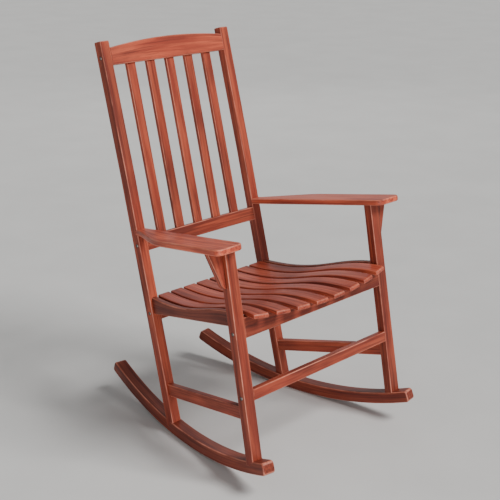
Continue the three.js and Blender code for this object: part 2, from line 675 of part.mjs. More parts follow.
function sideSeatRail() {
  const points = [];
  const [from, to] = [railFrontY - 20, railRearY + 20];
  const bottomAt = (y) => THREE.MathUtils.mapLinear(
    y, railFrontY, railRearY, SIDE_RAIL_BOTTOM_FRONT, SIDE_RAIL_BOTTOM_REAR,
  );
  for (let i = 0; i <= 14; i += 1) {
    const y = THREE.MathUtils.lerp(to, from, i / 14);
    points.push([y, seatEdgeHeight(y)]);
  }
  points.push([from, bottomAt(from)], [to, bottomAt(to)]);
  const board = slantedBoard(sideRailLine, points, 0, SIDE_RAIL_THICKNESS);
  const rail = join(betweenUprights(board, REACH), sideRailTenons(0));
  return cut(rail, seatBearer(GAP));
}

// ---------------------------------------------------------------- side stretchers
const stretcherTenonDepth = STRETCHER_THICKNESS / 4;
const stretcherTenons = (grow) => [
  [legRear, -1, STRETCHER_BOTTOM_FRONT],
  [postFront, 1, STRETCHER_BOTTOM_REAR],
].map(([face, toward, bottom]) => sideTenon(
  stretcherLine, face, toward, bottom + 6, bottom + 6 + STRETCHER_TENON_HEIGHT,
  stretcherTenonDepth, STRETCHER_THICKNESS - stretcherTenonDepth, STRETCHER_TENON_LENGTH, grow,
));

function sideStretcher() {
  const front = [legRear(STRETCHER_BOTTOM_FRONT), STRETCHER_BOTTOM_FRONT];
  const rear = [postFront(STRETCHER_BOTTOM_REAR), STRETCHER_BOTTOM_REAR];
  const slope = (front[1] - rear[1]) / (front[0] - rear[0]);
  const corners = [
    [front[0] - 30, front[1] - 30 * slope], [rear[0] + 30, rear[1] + 30 * slope],
    [rear[0] + 30, rear[1] + 30 * slope + STRETCHER_HEIGHT],
    [front[0] - 30, front[1] - 30 * slope + STRETCHER_HEIGHT],
  ];
  const board = slantedBoard(stretcherLine, corners, 0, STRETCHER_THICKNESS);
  return join(betweenUprights(board, REACH), stretcherTenons(0));
}

// ---------------------------------------------------------------- screws in the feet and arms
const legAxis = { frame: legFrame, x: LEG_OUTER - LEG_WIDTH / 2, depth: LEG_DEPTH };
const postAxis = { frame: lowerBackFrame, x: POST_OUTER - POST_WIDTH / 2, depth: POST_DEPTH };

// Height of the running edge of the rocker under a point.
function runningHeight(point) {
  const reach = rockerLine.at(point.y) - heelOffset;
  return ROCKER_RADIUS - Math.sqrt(ROCKER_RADIUS ** 2 - reach ** 2);
}

// The screw enters the running edge in line with the middle of the upright.
function footScrewLine({ frame, x, depth }) {
  const up = axisOf(frame, Z);
  const from = placeIn(frame, x, depth / 2, 0);
  for (let i = 0; i < 4; i += 1) {
    from.addScaledVector(up, (runningHeight(from) - from.z) / up.z);
  }
  return { from: from.addScaledVector(up, FOOT_SCREW_SINK), up };
}

const FOOT_SCREW_LENGTH = ROCKER_HEIGHT - FOOT_SCREW_SINK + FOOT_SCREW_GRIP;

function footScrew(axis) {
  const { from, up } = footScrewLine(axis);
  return screwBody(from, up, FOOT_SCREW_LENGTH);
}

function footScrewHole(axis) {
  const { from, up } = footScrewLine(axis);
  return screwHole(from, up, FOOT_SCREW_LENGTH, FOOT_SCREW_SINK);
}

const rockerClearance = rockerBody(GAP, 30);

function rocker() {
  return cut(rockerBody(0, 0), footScrewHole(legAxis), footScrewHole(postAxis));
}

const armFrame = leaning(ARM_SLOPE, ARM_REAR_Y, ARM_REAR_HEIGHT);
const ARM_SCREW_LENGTH = POST_DEPTH + ARM_SCREW_GRIP;

function armScrewLine() {
  const forward = axisOf(armFrame, Y).negate();
  const from = placeIn(armFrame, POST_OUTER - POST_WIDTH / 2, POST_DEPTH * 0.98, -ARM_THICKNESS / 2);
  return { from, forward };
}

// ---------------------------------------------------------------- uprights
const armMeetsLeg = along(LEG_RAKE, legMeetsArm(LEG_DEPTH / 2));

function legTenon(grow) {
  const inset = ARM_TENON_SHOULDER - grow;
  return placed(
    legFrame, LEG_INNER + inset, LEG_OUTER - inset, inset, LEG_DEPTH - inset,
    armMeetsLeg - 10, armMeetsLeg + ARM_TENON_LENGTH + grow,
  );
}

function frontLeg() {
  const foot = legHeight(runningHeight(placeIn(legFrame, 0, LEG_DEPTH / 2, 0)) + ROCKER_HEIGHT * 0.6);
  const depth = LEG_DEPTH / Math.hypot(1, LEG_RAKE);
  const board = placed(legFrame, LEG_INNER, LEG_OUTER, 0, depth, foot, armMeetsLeg + 30);
  const trimmed = cut(board, rockerClearance, aboveArmUnderside());
  return cut(
    join(trimmed, legTenon(0)),
    joinery.apron(GAP), joinery.stretcher(GAP), sideRailTenons(GAP)[0], stretcherTenons(GAP)[0],
    joints.apron.hole, joints.stretcher.hole, footScrewHole(legAxis),
  );
}

function backPost() {
  const foot = ROCKER_HEIGHT * 0.6;
  const depth = POST_DEPTH / Math.hypot(1, POST_UPPER_RAKE);
  const lean = Math.atan(POST_UPPER_RAKE);
  const front = (z) => [postFront(z), z];
  const rear = (z) => [postFront(z) + POST_DEPTH, z];
  const crown = [
    postFront(CHAIR_HEIGHT) + depth * Math.cos(lean), CHAIR_HEIGHT - depth * Math.sin(lean),
  ];
  const points = [
    front(foot), rear(foot), rear(POST_BEND_HEIGHT), crown,
    front(CHAIR_HEIGHT), front(POST_BEND_HEIGHT),
  ];
  const board = solid(sideBoard(points, POST_INNER, POST_OUTER));
  const { from, forward } = armScrewLine();
  return cut(
    board, rockerClearance,
    joinery.seat(GAP), joinery.lowerBack(GAP), joinery.crest(GAP),
    sideRailTenons(GAP)[1], stretcherTenons(GAP)[1],
    joints.seat.hole, joints.lowerBack.hole, joints.crest.hole,
    footScrewHole(postAxis), screwHole(from, forward, ARM_SCREW_LENGTH, 8),
  );
}

// ---------------------------------------------------------------- armrests and corbels
function armOutline() {
  const front = legFront(armUnder(LEG_FOOT_Y)) - ARM_FRONT_OVERHANG;
  const inner = [
    new THREE.Vector2(POST_INNER, ARM_REAR_Y),
    new THREE.Vector2(LEG_INNER + ARM_INNER_SETBACK, front),
  ];
  const outer = inner.map((p) => p.clone().add(new THREE.Vector2(ARM_WIDTH, 0)));
  const flare = outer[0].clone().sub(outer[1]).normalize();
  const end = outer[0].clone().lerp(outer[1], ARM_SWEEP / (ARM_REAR_Y - front));
  const start = new THREE.Vector2(POST_OUTER, ARM_REAR_Y);
  const pull = new THREE.Vector2(0.07, -0.24).multiplyScalar(ARM_SWEEP);
  const sweep = new THREE.CubicBezierCurve(
    start, start.clone().add(pull), end.clone().addScaledVector(flare, ARM_SWEEP * 0.3), end,
  ).getPoints(14);
  const tail = 20;
  return outline([
    [POST_INNER, ARM_REAR_Y + tail],
    [POST_INNER, ARM_REAR_Y],
    [inner[1].x, inner[1].y, ARM_CORNER], [outer[1].x, outer[1].y, ARM_CORNER],
    ...sweep.reverse().map((p) => [p.x, p.y]),
    [POST_OUTER, ARM_REAR_Y + tail],
  ], 6);
}

function armrest() {
  const stretch = Math.hypot(1, ARM_SLOPE);
  const points = armOutline().map((p) => [p.x, (p.y - ARM_REAR_Y) * stretch]);
  const from = new THREE.Vector3(0, 0, -ARM_THICKNESS);
  const board = solid(extruded(points, ARM_THICKNESS, X, Y, from).applyMatrix4(armFrame));
  const { from: start, forward } = armScrewLine();
  return cut(
    board, postRearRegion(-GAP, 0, REACH), legTenon(GAP),
    screwHole(start, forward, ARM_SCREW_LENGTH, 8),
  );
}

function corbel() {
  const inner = LEG_OUTER + GAP;
  const taper = (CORBEL_TOP_WIDTH - CORBEL_FOOT_WIDTH) / CORBEL_TAPER;
  const foot = armMeetsLeg - CORBEL_HEIGHT;
  const footWidth = CORBEL_TOP_WIDTH - taper * CORBEL_HEIGHT;
  const points = outline([
    [armMeetsLeg + 20, inner], [foot, inner], [foot, inner + footWidth, footWidth * 0.9],
    [armMeetsLeg + 20, inner + CORBEL_TOP_WIDTH + taper * 20],
  ]);
  const rear = LEG_DEPTH / Math.hypot(1, LEG_RAKE);
  const from = new THREE.Vector3(0, rear - CORBEL_THICKNESS, 0);
  const board = extruded(points, CORBEL_THICKNESS, Z, X, from).applyMatrix4(legFrame);
  return solid(board).subtract(aboveArmUnderside());
}

// ---------------------------------------------------------------- the chair
const WOOD = { color: 0x7c3526, roughness: 0.42, metalness: 0 };
const STEEL = { color: 0xb9bbbd, roughness: 0.35, metalness: 0.9 };
const ZINC = { color: 0x96999b, roughness: 0.5, metalness: 0.85 };

const chair = new THREE.Group();
chair.name = 'rocking_chair';

function section(name) {
  const group = new THREE.Group();
  group.name = name;
  chair.add(group);
  return group;
}

function add(group, name, body, finish) {
  const geometry = surface(body);
  geometry.computeBoundingBox();
  const centre = geometry.boundingBox.getCenter(new THREE.Vector3());
  geometry.translate(-centre.x, -centre.y, -centre.z);
  const flat = geometry.toNonIndexed();
  flat.computeVertexNormals();
  const mesh = new THREE.Mesh(flat, new THREE.MeshStandardMaterial(finish));
  mesh.name = name;
  mesh.position.copy(centre);
  group.add(mesh);
}

function addPair(group, name, body, finish) {
  add(group, `left_${name}`, body, finish);
  add(group, `right_${name}`, mirrored(body), finish);
}

const base = section('base');
addPair(base, 'rocker', rocker(), WOOD);
addPair(base, 'front_leg', frontLeg(), WOOD);
addPair(base, 'side_stretcher', sideStretcher(), WOOD);
add(base, 'front_stretcher', frontStretcher(), WOOD);
addPair(base, 'leg_screw', footScrew(legAxis), ZINC);
addPair(base, 'post_screw', footScrew(postAxis), ZINC);

const seat = section('seat');
add(seat, 'front_apron', frontApron(), WOOD);
add(seat, 'rear_seat_rail', rearSeatRail(), WOOD);
add(seat, 'mid_seat_bearer', seatBearer(0), WOOD);
addPair(seat, 'side_seat_rail', sideSeatRail(), WOOD);
for (let k = 0; k < SEAT_SLATS; k += 1) {
  add(seat, `seat_slat_${k + 1}`, seatSlat(k), WOOD);
}

const back = section('back');
addPair(back, 'back_post', backPost(), WOOD);
add(back, 'crest_rail', crestRail(), WOOD);
add(back, 'lower_back_rail', lowerBackRail(), WOOD);
slatNumbers.forEach((k) => add(back, `back_slat_${k + 1}`, backSlat(k), WOOD));

const arms = section('arms');
const armScrew = armScrewLine();
addPair(arms, 'armrest', armrest(), WOOD);
addPair(arms, 'arm_corbel', corbel(), WOOD);
addPair(arms, 'arm_screw', screwBody(armScrew.from, armScrew.forward, ARM_SCREW_LENGTH), ZINC);

const hardware = section('hardware');
const jointNames = {
  apron: 'apron', stretcher: 'stretcher', seat: 'seat_rail', lowerBack: 'back_rail', crest: 'crest',
};
for (const [key, name] of Object.entries(jointNames)) {
  addPair(hardware, `${name}_bolt`, joints[key].bolt, STEEL);
  addPair(hardware, `${name}_nut`, joints[key].nut, ZINC);
}

export default chair;
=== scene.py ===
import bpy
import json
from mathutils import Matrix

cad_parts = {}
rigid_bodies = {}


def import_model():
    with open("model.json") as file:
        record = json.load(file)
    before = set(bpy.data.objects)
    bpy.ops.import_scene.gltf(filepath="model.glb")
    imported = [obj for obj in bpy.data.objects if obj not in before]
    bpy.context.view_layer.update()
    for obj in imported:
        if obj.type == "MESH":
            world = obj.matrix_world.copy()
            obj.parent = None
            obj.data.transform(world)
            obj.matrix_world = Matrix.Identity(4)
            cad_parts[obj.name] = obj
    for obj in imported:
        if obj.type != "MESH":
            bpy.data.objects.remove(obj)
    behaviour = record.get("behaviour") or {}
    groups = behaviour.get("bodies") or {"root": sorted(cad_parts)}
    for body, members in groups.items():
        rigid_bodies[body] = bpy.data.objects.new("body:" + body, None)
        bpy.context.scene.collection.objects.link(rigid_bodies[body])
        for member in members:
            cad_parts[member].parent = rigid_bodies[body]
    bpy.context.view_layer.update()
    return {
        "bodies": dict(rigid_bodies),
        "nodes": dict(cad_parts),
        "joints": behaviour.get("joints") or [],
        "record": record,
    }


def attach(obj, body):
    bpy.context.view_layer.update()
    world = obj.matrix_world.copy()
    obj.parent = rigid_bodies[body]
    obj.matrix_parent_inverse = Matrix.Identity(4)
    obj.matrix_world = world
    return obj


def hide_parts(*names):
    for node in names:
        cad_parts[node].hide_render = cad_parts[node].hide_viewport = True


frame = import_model()

import json
import math

import bpy
from bpy.props import FloatProperty, FloatVectorProperty, IntProperty, PointerProperty
from mathutils import Matrix, Vector

bl_info = {
    "name": "Slatted rocking chair",
    "version": (1, 0, 0),
    "blender": (4, 5, 0),
    "location": "View3D > Sidebar > Rocker",
    "description": "Builds a slatted porch rocking chair in stained hardwood, piece by piece",
    "category": "Add Mesh",
}

MM = 0.001
X, Y, Z = range(3)
LEFT, RIGHT = 1, -1
SIDES = {"left": LEFT, "right": RIGHT}

# Joints between the boards.
HIDDEN_END = 7 * MM  # how far a board runs on inside the piece it is let into
FOOT_SINK = 8 * MM  # how far the legs and posts reach down into the rockers
FOOT_LEVEL = 50 * MM  # height at which a leg's place on its rocker is taken
JOINT_LINE = 0.15 * MM  # a flush rail stops just short of the leg or post
SLAT_BED = 0.8 * MM  # between the seat slats and what carries them
BEND_LINE = 0.2 * MM  # the posts are cut this far to either side of their bend

# Bolts, barrel nuts and screws.
BOLT_INSET = 12 * MM  # bolt axis behind the front of its leg or post
BOLT_SEAT, BOLT_SEAT_DEPTH = 5.2 * MM, 2.4 * MM
SCREW_START, SCREW_SEAT_DEPTH = 2 * MM, 8 * MM  # the drill starts outside the wood
NUT_START, NUT_HOLE_DEPTH = 3 * MM, 10 * MM
NUT_HOLE = 5.6 * MM
NUT_SETBACK = 30 * MM  # nut axis from the end of its rail
HOLE_SIDES = 32

# Heights above the floor of the rails' undersides, bolts and tops.
STRETCHER_BOTTOM, STRETCHER_BOLT, STRETCHER_TOP = 244 * MM, 258.5 * MM, 273 * MM
APRON_BOTTOM, APRON_BOLT, APRON_TOP = 408.5 * MM, 427.1 * MM, 450 * MM
REAR_RAIL_BOTTOM, REAR_RAIL_BOLT, REAR_RAIL_TOP = 325 * MM, 348 * MM, 371 * MM
CREST_BOLT = 0.45  # as a share of the height of the crest's ends
CREST_ARRIS = 3 * MM

# Side rails and side stretchers, the front value before the rear one.
SIDE_RAIL_THICKNESS = 18 * MM
SIDE_RAIL_INSET = (17.5 * MM, 8 * MM)  # outer face inside those of the leg and post
SIDE_RAIL_BOTTOM = (433 * MM, 342.5 * MM)
SIDE_RAIL_RUN_ON = (16 * MM, 10 * MM)  # into the leg and the post
SIDE_RAIL_BLANK = 50 * MM  # height of the board before it is shaped
SIDE_STRETCHER_THICKNESS, SIDE_STRETCHER_HEIGHT = 20 * MM, 35.5 * MM
SIDE_STRETCHER_BOTTOM = (192 * MM, 111 * MM)
SIDE_STRETCHER_RUN_ON = (10 * MM, 16 * MM)

# The bearer under the middle of the seat.
BEARER_PLACE = 0.45  # as a share of the seat's depth from the rear
BEARER_WIDTH, BEARER_HEIGHT, BEARER_ARRIS = 22 * MM, 15 * MM, 2 * MM
BEARER_HOUSING = 4 * MM  # how far its ends are let into the side rails

# Rounded ends.
ROCKER_CORNER, ROCKER_END = 9 * MM, 14 * MM
SLAT_REAR_END, SLAT_FRONT_END = 6 * MM, 12 * MM
SWEEP_START = (0.07, 0.24)  # first handle of an arm's curve, as shares of its length
SWEEP_END = 0.3  # last handle, as a share of its length
CORBEL_TIP = 11 * MM
CORBEL_TIP_WIDTH = 0.12  # share of the width that is left at the tip
CORBEL_THIN = 8 * MM  # narrower than this, the inner edge draws in as well
CORBEL_FINE = 14 * MM  # the lowest part, which is cut more finely
CORBEL_ARRIS = 2.2 * MM

# How many cuts a board takes before it is bent.
ROCKER_CUTS, RAIL_CUTS, SIDE_RAIL_CUTS, SLAT_CUTS, ARM_CUTS = 46, 24, 32, 40, 40

# How light each kind of piece shows, from the stain it took and from painted light and shade: darker
# for the rockers and the pieces low down or under the seat, lighter for the arms and the crest; below
# 1 is darker than the stain itself.
STAIN_AND_PAINTED_LIGHT = {
    "rocker": 0.55, "leg": 0.74, "post": 0.9, "front_stretcher": 0.8, "apron": 0.6,
    "rear_rail": 0.6, "side_rail": 0.5, "bearer": 0.6, "side_stretcher": 0.9,
    "seat_slat": 1.0, "crest": 1.15, "lower_rail": 0.72, "back_slat": 0.85,
    "arm": 1.25, "corbel": 0.75,
}
STAIN_SPREAD = 0.07  # how much one board differs from the next
# How strongly the seat slats show their rubbed edges and the painted highlight along them.
SEAT_SLAT_WEAR_AND_HIGHLIGHT = 0.7
END_BAND = 0.4 * MM  # keeps the rubbed edge and painted highlight of an end from spreading along the faces
SMOOTH_ANGLE = math.radians(42)

CAMERA_ANGLES = (-46.984, 15.928, 0.981)  # azimuth, elevation and roll, in degrees
CAMERA_TARGET = (0.09152, -0.10247, 0.70013)
CAMERA_DISTANCE = 3.13877
CAMERA_LENS, CAMERA_SENSOR = 80.09, 36  # in millimetres
CAMERA_SHIFT = (-0.0921, -0.1221)


def length(name, description, millimetres):
    """A size in metres, shown with the scene's unit."""
    return FloatProperty(
        name=name, description=description, default=millimetres * MM, unit="LENGTH",
        subtype="DISTANCE", min=0.0, precision=4,
    )


def slope(name, description, default):
    return FloatProperty(name=name, description=description, default=default, precision=4)


def colour(name, description, default):
    return FloatVectorProperty(
        name=name, description=description, default=default, subtype="COLOR", size=3,
        min=0.0, max=1.0,
    )


class FrameSizes(bpy.types.PropertyGroup):
    """Uprights, rockers and the rails between them."""

    leg_half: length("Leg reach", "Centre line to the outer face of a front leg", 304.5)
    leg_width: length("Leg width", "Front leg seen from the front", 35.5)
    leg_depth: length("Leg depth", "Front leg from front to back, measured level", 28)
    leg_foot: slope("Leg foot", "Front face of the leg carried down to the floor", -0.353)
    leg_rake: slope("Leg rake", "Backward lean of the front legs", 0.19)
    post_half: length("Post reach", "Centre line to the outer face of a back post", 242.5)
    post_width: length("Post width", "Back post seen from the front", 31.5)
    post_depth: length("Post depth", "Back post from front to back, measured level", 30)
    post_foot: slope("Post foot", "Front face of the post carried down to the floor", 0.044)
    post_rake: slope("Post rake", "Backward lean of the posts below the bend", 0.263)
    post_bend: length("Post bend", "Height where the posts lean back a little more", 730)
    post_upper_rake: slope("Upper rake", "Backward lean above the bend", 0.28)
    height: length("Height", "Floor to the front edge of the post tops", 1100)
    rail: length("Rail thickness", "Rails and stretchers that run across", 22)
    rocker_span: length("Rocker span", "Front to back over the rockers", 788)
    rocker_radius: length("Rocker radius", "Radius of the running edge", 1097)
    rocker_height: length("Rocker height", "Running edge to top edge", 34)
    rocker_thickness: length("Rocker thickness", "Across a rocker", 37)
    rocker_contact: length("Contact", "Resting point behind the middle", 6)
    arris: length("Arris", "Radius of the eased edges on the frame", 3.1)


class SeatSizes(bpy.types.PropertyGroup):
    """The dished and fanned seat."""

    slats: IntProperty(name="Slats", description="Number of seat slats", default=8, min=2)
    slat_width: length("Slat width", "Width of a seat slat", 45)
    slat_thickness: length("Slat thickness", "Thickness of a seat slat", 13)
    front_height: length("Front height", "Top of the middle slats at the front", 465)
    rear_height: length("Rear height", "Top of the slats at the rear", 384)
    dip: length("Dip", "Hollow in front of the back", 8)
    dip_end: slope("Dip end", "Share of the depth over which the hollow fades", 0.8)
    dish: length("Dish", "Rise of the outer slats above the middle ones", 12)
    overhang: length("Overhang", "Front edge ahead of the legs, in the middle", 62.5)
    front_bow: length("Front bow", "Outer slats end this much further back", 32)
    rear_overlap: length("Rear overlap", "Rear edge behind the front of the posts", 22)
    rear_bow: length("Rear bow", "Outer slats start this much further forward", 14)
    front_clearance: length("Leg clearance", "Outer slat to the inside of the legs", 6.4)
    rear_clearance: length("Post clearance", "Outer slat to the inside of the posts", 4.4)
    nose: length("Nose", "Radius of the upper front edge of a slat", 7.5)
    nose_under: length("Nose underside", "Radius of the lower front edge of a slat", 4.5)
    arris: length("Slat arris", "Radius of the long edges of a slat", 3.2)


class ArmSizes(bpy.types.PropertyGroup):
    """Armrests and the corbels under them."""

    rear_height: length("Rear height", "Top face where an arm meets its post", 583)
    slope: slope("Slope", "Rise of the arm towards the front", 0.178)
    thickness: length("Thickness", "Thickness of an arm", 17)
    width: length("Width", "Width of an arm over its straight part", 90)
    overhang: length("Overhang", "Front edge ahead of the front leg", 39)
    setback: length("Setback", "Inner edge outside the inner face of the leg", 2)
    sweep: length("Sweep", "Length of the curved outer edge", 197)
    corner: length("Corner", "Radius of the front corners", 20)
    arris: length("Arm arris", "Radius of the edges of an arm", 4.5)
    corbel_width: length("Corbel width", "Width under the arm", 45)
    corbel_foot: length("Corbel foot", "Width near the foot", 16)
    corbel_height: length("Corbel height", "Height of a corbel", 96)
    corbel_taper: length("Corbel taper", "Height over which the outer edge slopes", 81)
    corbel_thickness: length("Corbel thickness", "Thickness of a corbel", 15.5)


class BackSizes(bpy.types.PropertyGroup):
    """Crest rail, lower rail and back slats."""

    slats: IntProperty(name="Slats", description="Number of back slats", default=5, min=1)
    slat_width: length("Slat width", "Width of a back slat", 30)
    slat_thickness: length("Slat thickness", "Thickness of a back slat", 12)
    slat_gap: length("Slat gap", "Space between back slats", 42)
    slat_setback: length("Slat setback", "Front face behind the front of the rails", 7)
    crest_drop: length("Crest drop", "Underside of the crest below the post tops", 67.5)
    crest_end: length("Crest ends", "Height of the crest rail at its ends", 50)
    crest_arch: length("Crest arch", "Extra height in the middle", 14.5)
    lower_bottom: length("Lower rail height", "Underside of the lower rail", 519.5)
    lower_height: length("Lower rail", "Height of the lower rail", 38.5)
    lower_bow: length("Bow", "Set back of the lower rail in the middle", 8)
    arris: length("Back arris", "Radius of the edges of the back slats", 2.2)


class StainColours(bpy.types.PropertyGroup):
    """The reddish stain, its rubbed edges with their painted highlight, and the metal."""

    deep: colour("Deep stain", "Dark lines of the grain", (0.055, 0.010, 0.009))
    body: colour("Stain", "Main colour of the wood", (0.30, 0.045, 0.024))
    pale: colour("Pale stain", "Light bands of the grain", (0.50, 0.094, 0.045))
    # The edge colour is bare wood where the stain has rubbed thin, and also a painted highlight along
    # the arrises.
    worn_and_painted_highlight: colour("Worn edge", "Wood where the stain has worn thin", (0.74, 0.27, 0.18))
    steel: colour("Steel", "Bolt heads", (0.30, 0.27, 0.25))
    zinc: colour("Zinc", "Nuts and screws", (0.45, 0.47, 0.48))
    floor: colour("Floor", "Plain floor", (0.62, 0.61, 0.59))


GROUPS = {
    "rocker_frame": FrameSizes,
    "rocker_seat": SeatSizes,
    "rocker_arms": ArmSizes,
    "rocker_back": BackSizes,
    "rocker_stain": StainColours,
}


def sizes():
    """The frame, seat, arm and back sizes of the open scene."""
    scene = bpy.context.scene
    return scene.rocker_frame, scene.rocker_seat, scene.rocker_arms, scene.rocker_back


# ---------------------------------------------------------------- guide lines
def lerp(a, b, share):
    return a + (b - a) * share


def leg_front(z):
    f = sizes()[0]
    return f.leg_foot + f.leg_rake * z


def leg_rear(z):
    return leg_front(z) + sizes()[0].leg_depth


def post_front(z):
    f = sizes()[0]
    lower = min(z, f.post_bend)
    return f.post_foot + f.post_rake * lower + f.post_upper_rake * (z - lower)


def leaning(rake, y, z):
    """A frame that leans back: x across, y square to the leaning face and z along it."""
    return Matrix.Translation((0, y, z)) @ Matrix.Rotation(-math.atan(rake), 4, "X")


def leg_frame():
    f = sizes()[0]
    return leaning(f.leg_rake, f.leg_foot, 0)


def lower_back_frame():
    f = sizes()[0]
    return leaning(f.post_rake, f.post_foot, 0)


def upper_back_frame():
    f = sizes()[0]
    return leaning(f.post_upper_rake, post_front(f.post_bend), f.post_bend)


def along(rake, height):
    return height * math.hypot(1, rake)


def upper_height(z):
    f = sizes()[0]
    return along(f.post_upper_rake, z - f.post_bend)


def arm_frame():
    a = sizes()[2]
    return leaning(a.slope, post_front(a.rear_height), a.rear_height)


def arm_under(y):
    a = sizes()[2]
    rise = a.slope * (post_front(a.rear_height) - y)
    return a.rear_height + rise - along(a.slope, a.thickness)


def arm_meets_leg():
    """Distance up the leg where the middle of its top meets the arm."""
    f, _, a, _ = sizes()
    level = arm_under(f.leg_foot + f.leg_depth / 2) / (1 + a.slope * f.leg_rake)
    return along(f.leg_rake, level)


class Slanted:
    """A board set at an angle in plan; its outer face runs through two points."""

    def __init__(self, front, rear):
        self.front = Vector((*front, 0))
        self.back = (Vector((*rear, 0)) - self.front).normalized()
        self.out = self.back.cross(Vector((0, 0, 1)))

    def at(self, y):
        return (y - self.front.y) / self.back.y

    def point(self, distance, depth, z):
        place = self.front + self.back * distance - self.out * depth
        return Vector((place.x, place.y, z))


def rocker_line():
    f = sizes()[0]
    leg = leg_front(2 * f.rocker_height) + f.leg_depth / 2
    post = post_front(f.rocker_height) + f.post_depth / 2
    return Slanted((f.leg_half, leg), (f.post_half, post))


def running_height(y):
    f = sizes()[0]
    line = rocker_line()
    reach = line.at(y) - line.at(f.rocker_contact)
    return f.rocker_radius - math.sqrt(f.rocker_radius**2 - reach**2)


def crest_bottom():
    f, _, _, b = sizes()
    return f.height - b.crest_drop


# ---------------------------------------------------------------- seat surface
def seat_halves():
    """Half widths of the seat at the front and the rear."""
    f, s, _, _ = sizes()
    front = f.leg_half - f.leg_width - s.front_clearance
    return front, f.post_half - f.post_width - s.rear_clearance


def seat_front(x):
    s = sizes()[1]
    edge = leg_front(s.front_height) - s.overhang
    return edge + s.front_bow * (x / seat_halves()[0]) ** 2


def seat_rear(x):
    s = sizes()[1]
    edge = post_front(s.rear_height) + s.rear_overlap
    return edge - s.rear_bow * (x / seat_halves()[1]) ** 2


def seat_height(share):
    """Height of the middle of the seat, at 0 for the rear edge and 1 for the front."""
    s = sizes()[1]
    rise = share * share * (3 - 2 * share)
    hollow = math.sin(math.pi * max(0, min(share / s.dip_end, 1))) ** 2
    return lerp(s.rear_height, s.front_height, rise) - s.dip * hollow


def seat_point(x, share, below):
    s = sizes()[1]
    dish = s.dish * (x / seat_halves()[0]) ** 2
    return Vector((x, lerp(seat_rear(x), seat_front(x), share), seat_height(share) + dish - below))


def seat_share(x, y):
    return (seat_rear(x) - y) / (seat_rear(x) - seat_front(x))


def seat_under(x, y):
    s = sizes()[1]
    return seat_point(x, seat_share(x, y), s.slat_thickness + SLAT_BED).z


def seat_edge_height(y):
    """Height of the outer edge of the slatted seat."""
    front, rear = seat_halves()
    share = (seat_rear(rear) - y) / (seat_rear(rear) - seat_front(front))
    dish = sizes()[1].dish * (lerp(rear, front, share) / front) ** 2
    return seat_height(max(0, min(share, 1))) + dish


# ---------------------------------------------------------------- bench work
def pick(board, wanted):
    """Selects the edges of the open board for which wanted(start, end) is true."""
    bpy.context.tool_settings.mesh_select_mode = (False, True, False)
    bpy.ops.mesh.select_all(action="DESELECT")
    bpy.ops.object.mode_set(mode="OBJECT")
    mesh = board.data
    for edge in mesh.edges:
        start, end = (mesh.vertices[i].co for i in edge.vertices)
        edge.select = bool(wanted(start, end))
    bpy.ops.object.mode_set(mode="EDIT")


def lengthwise(axis):
    """The edges that run along a board; all others stay level on that axis."""
    return lambda a, b: abs(a[axis] - b[axis]) > 50 * MM


def saw(name, low, high):
    """A blank between two corners, in the board's own frame, open in edit mode."""
    bpy.ops.object.select_all(action="DESELECT")
    bpy.ops.mesh.primitive_cube_add(size=1, location=(0, 0, 0))
    board = bpy.context.object
    board.name = board.data.name = name
    low, high = Vector(low), Vector(high)
    bpy.ops.object.mode_set(mode="EDIT")
    bpy.ops.mesh.select_all(action="SELECT")
    bpy.ops.transform.resize(value=high - low, center_override=(0, 0, 0))
    bpy.ops.transform.translate(value=(high + low) / 2)
    return board


def ease(radius, segments=3):
    """Rounds the picked edges."""
    bpy.ops.mesh.bevel(
        offset=radius, segments=segments, affect="EDGES", profile=0.5, clamp_overlap=False,
    )


def slice_along(axis, stops):
    """Cuts the open board across at each stop, so that it can be bent."""
    normal = Vector((0, 0, 0))
    normal[axis] = 1
    for stop in stops:
        bpy.ops.mesh.select_all(action="SELECT")
        bpy.ops.mesh.bisect(plane_co=normal * stop, plane_no=normal)


def steps(start, end, count):
    return [lerp(start, end, (k + 1) / (count + 1)) for k in range(count)]


def mark_wood(board, axis, seed, stain=1.0, flat_edges=False, wear_and_painted_highlight=1.0):
    """Keeps the board's own coordinates for its grain, marks its edges for rubbing and a painted
    highlight, and gives it its stain with painted light and shade.
    """
    bpy.ops.object.mode_set(mode="OBJECT")
    mesh = board.data
    reach = [vertex.co[axis] for vertex in mesh.vertices]
    bpy.ops.object.mode_set(mode="EDIT")
    slice_along(axis, (min(reach) + END_BAND, max(reach) - END_BAND))
    bpy.ops.object.mode_set(mode="OBJECT")
    order = [k for k in (X, Y, Z) if k != axis] + [axis]
    shift = Vector((0.731 * seed % 5.0, 0.417 * seed % 3.0, 1.937 * seed % 7.0))
    # Each kind of piece takes its stain with painted light and shade, and each board varies a little
    # from the next at random.
    tint_and_painted_light = stain * (1 + STAIN_SPREAD * math.sin(seed * 2.399))
    # Kept on the corners, so that a hole cut later carries them across the face.
    kinds = {"grain": "FLOAT_VECTOR", "worn_and_painted_highlight": "FLOAT", "tone_and_painted_light": "FLOAT"}
    for name, kind in kinds.items():
        mesh.attributes.new(name, kind, "CORNER")
    grain, worn_and_painted_highlight, tone_and_painted_light = (mesh.attributes[name] for name in kinds)
    for i, corner in enumerate(mesh.loops):
        vertex = mesh.vertices[corner.vertex_index]
        x, y, z = (abs(value) for value in vertex.normal)
        # The edge mark stands for rubbed arrises and also for a painted highlight along them.
        edge = 2 * z * math.hypot(x, y) if flat_edges else 2 * max(x * y, y * z, x * z)
        grain.data[i].vector = Vector([vertex.co[k] for k in order]) + shift
        worn_and_painted_highlight.data[i].value = edge * wear_and_painted_highlight
        tone_and_painted_light.data[i].value = tint_and_painted_light


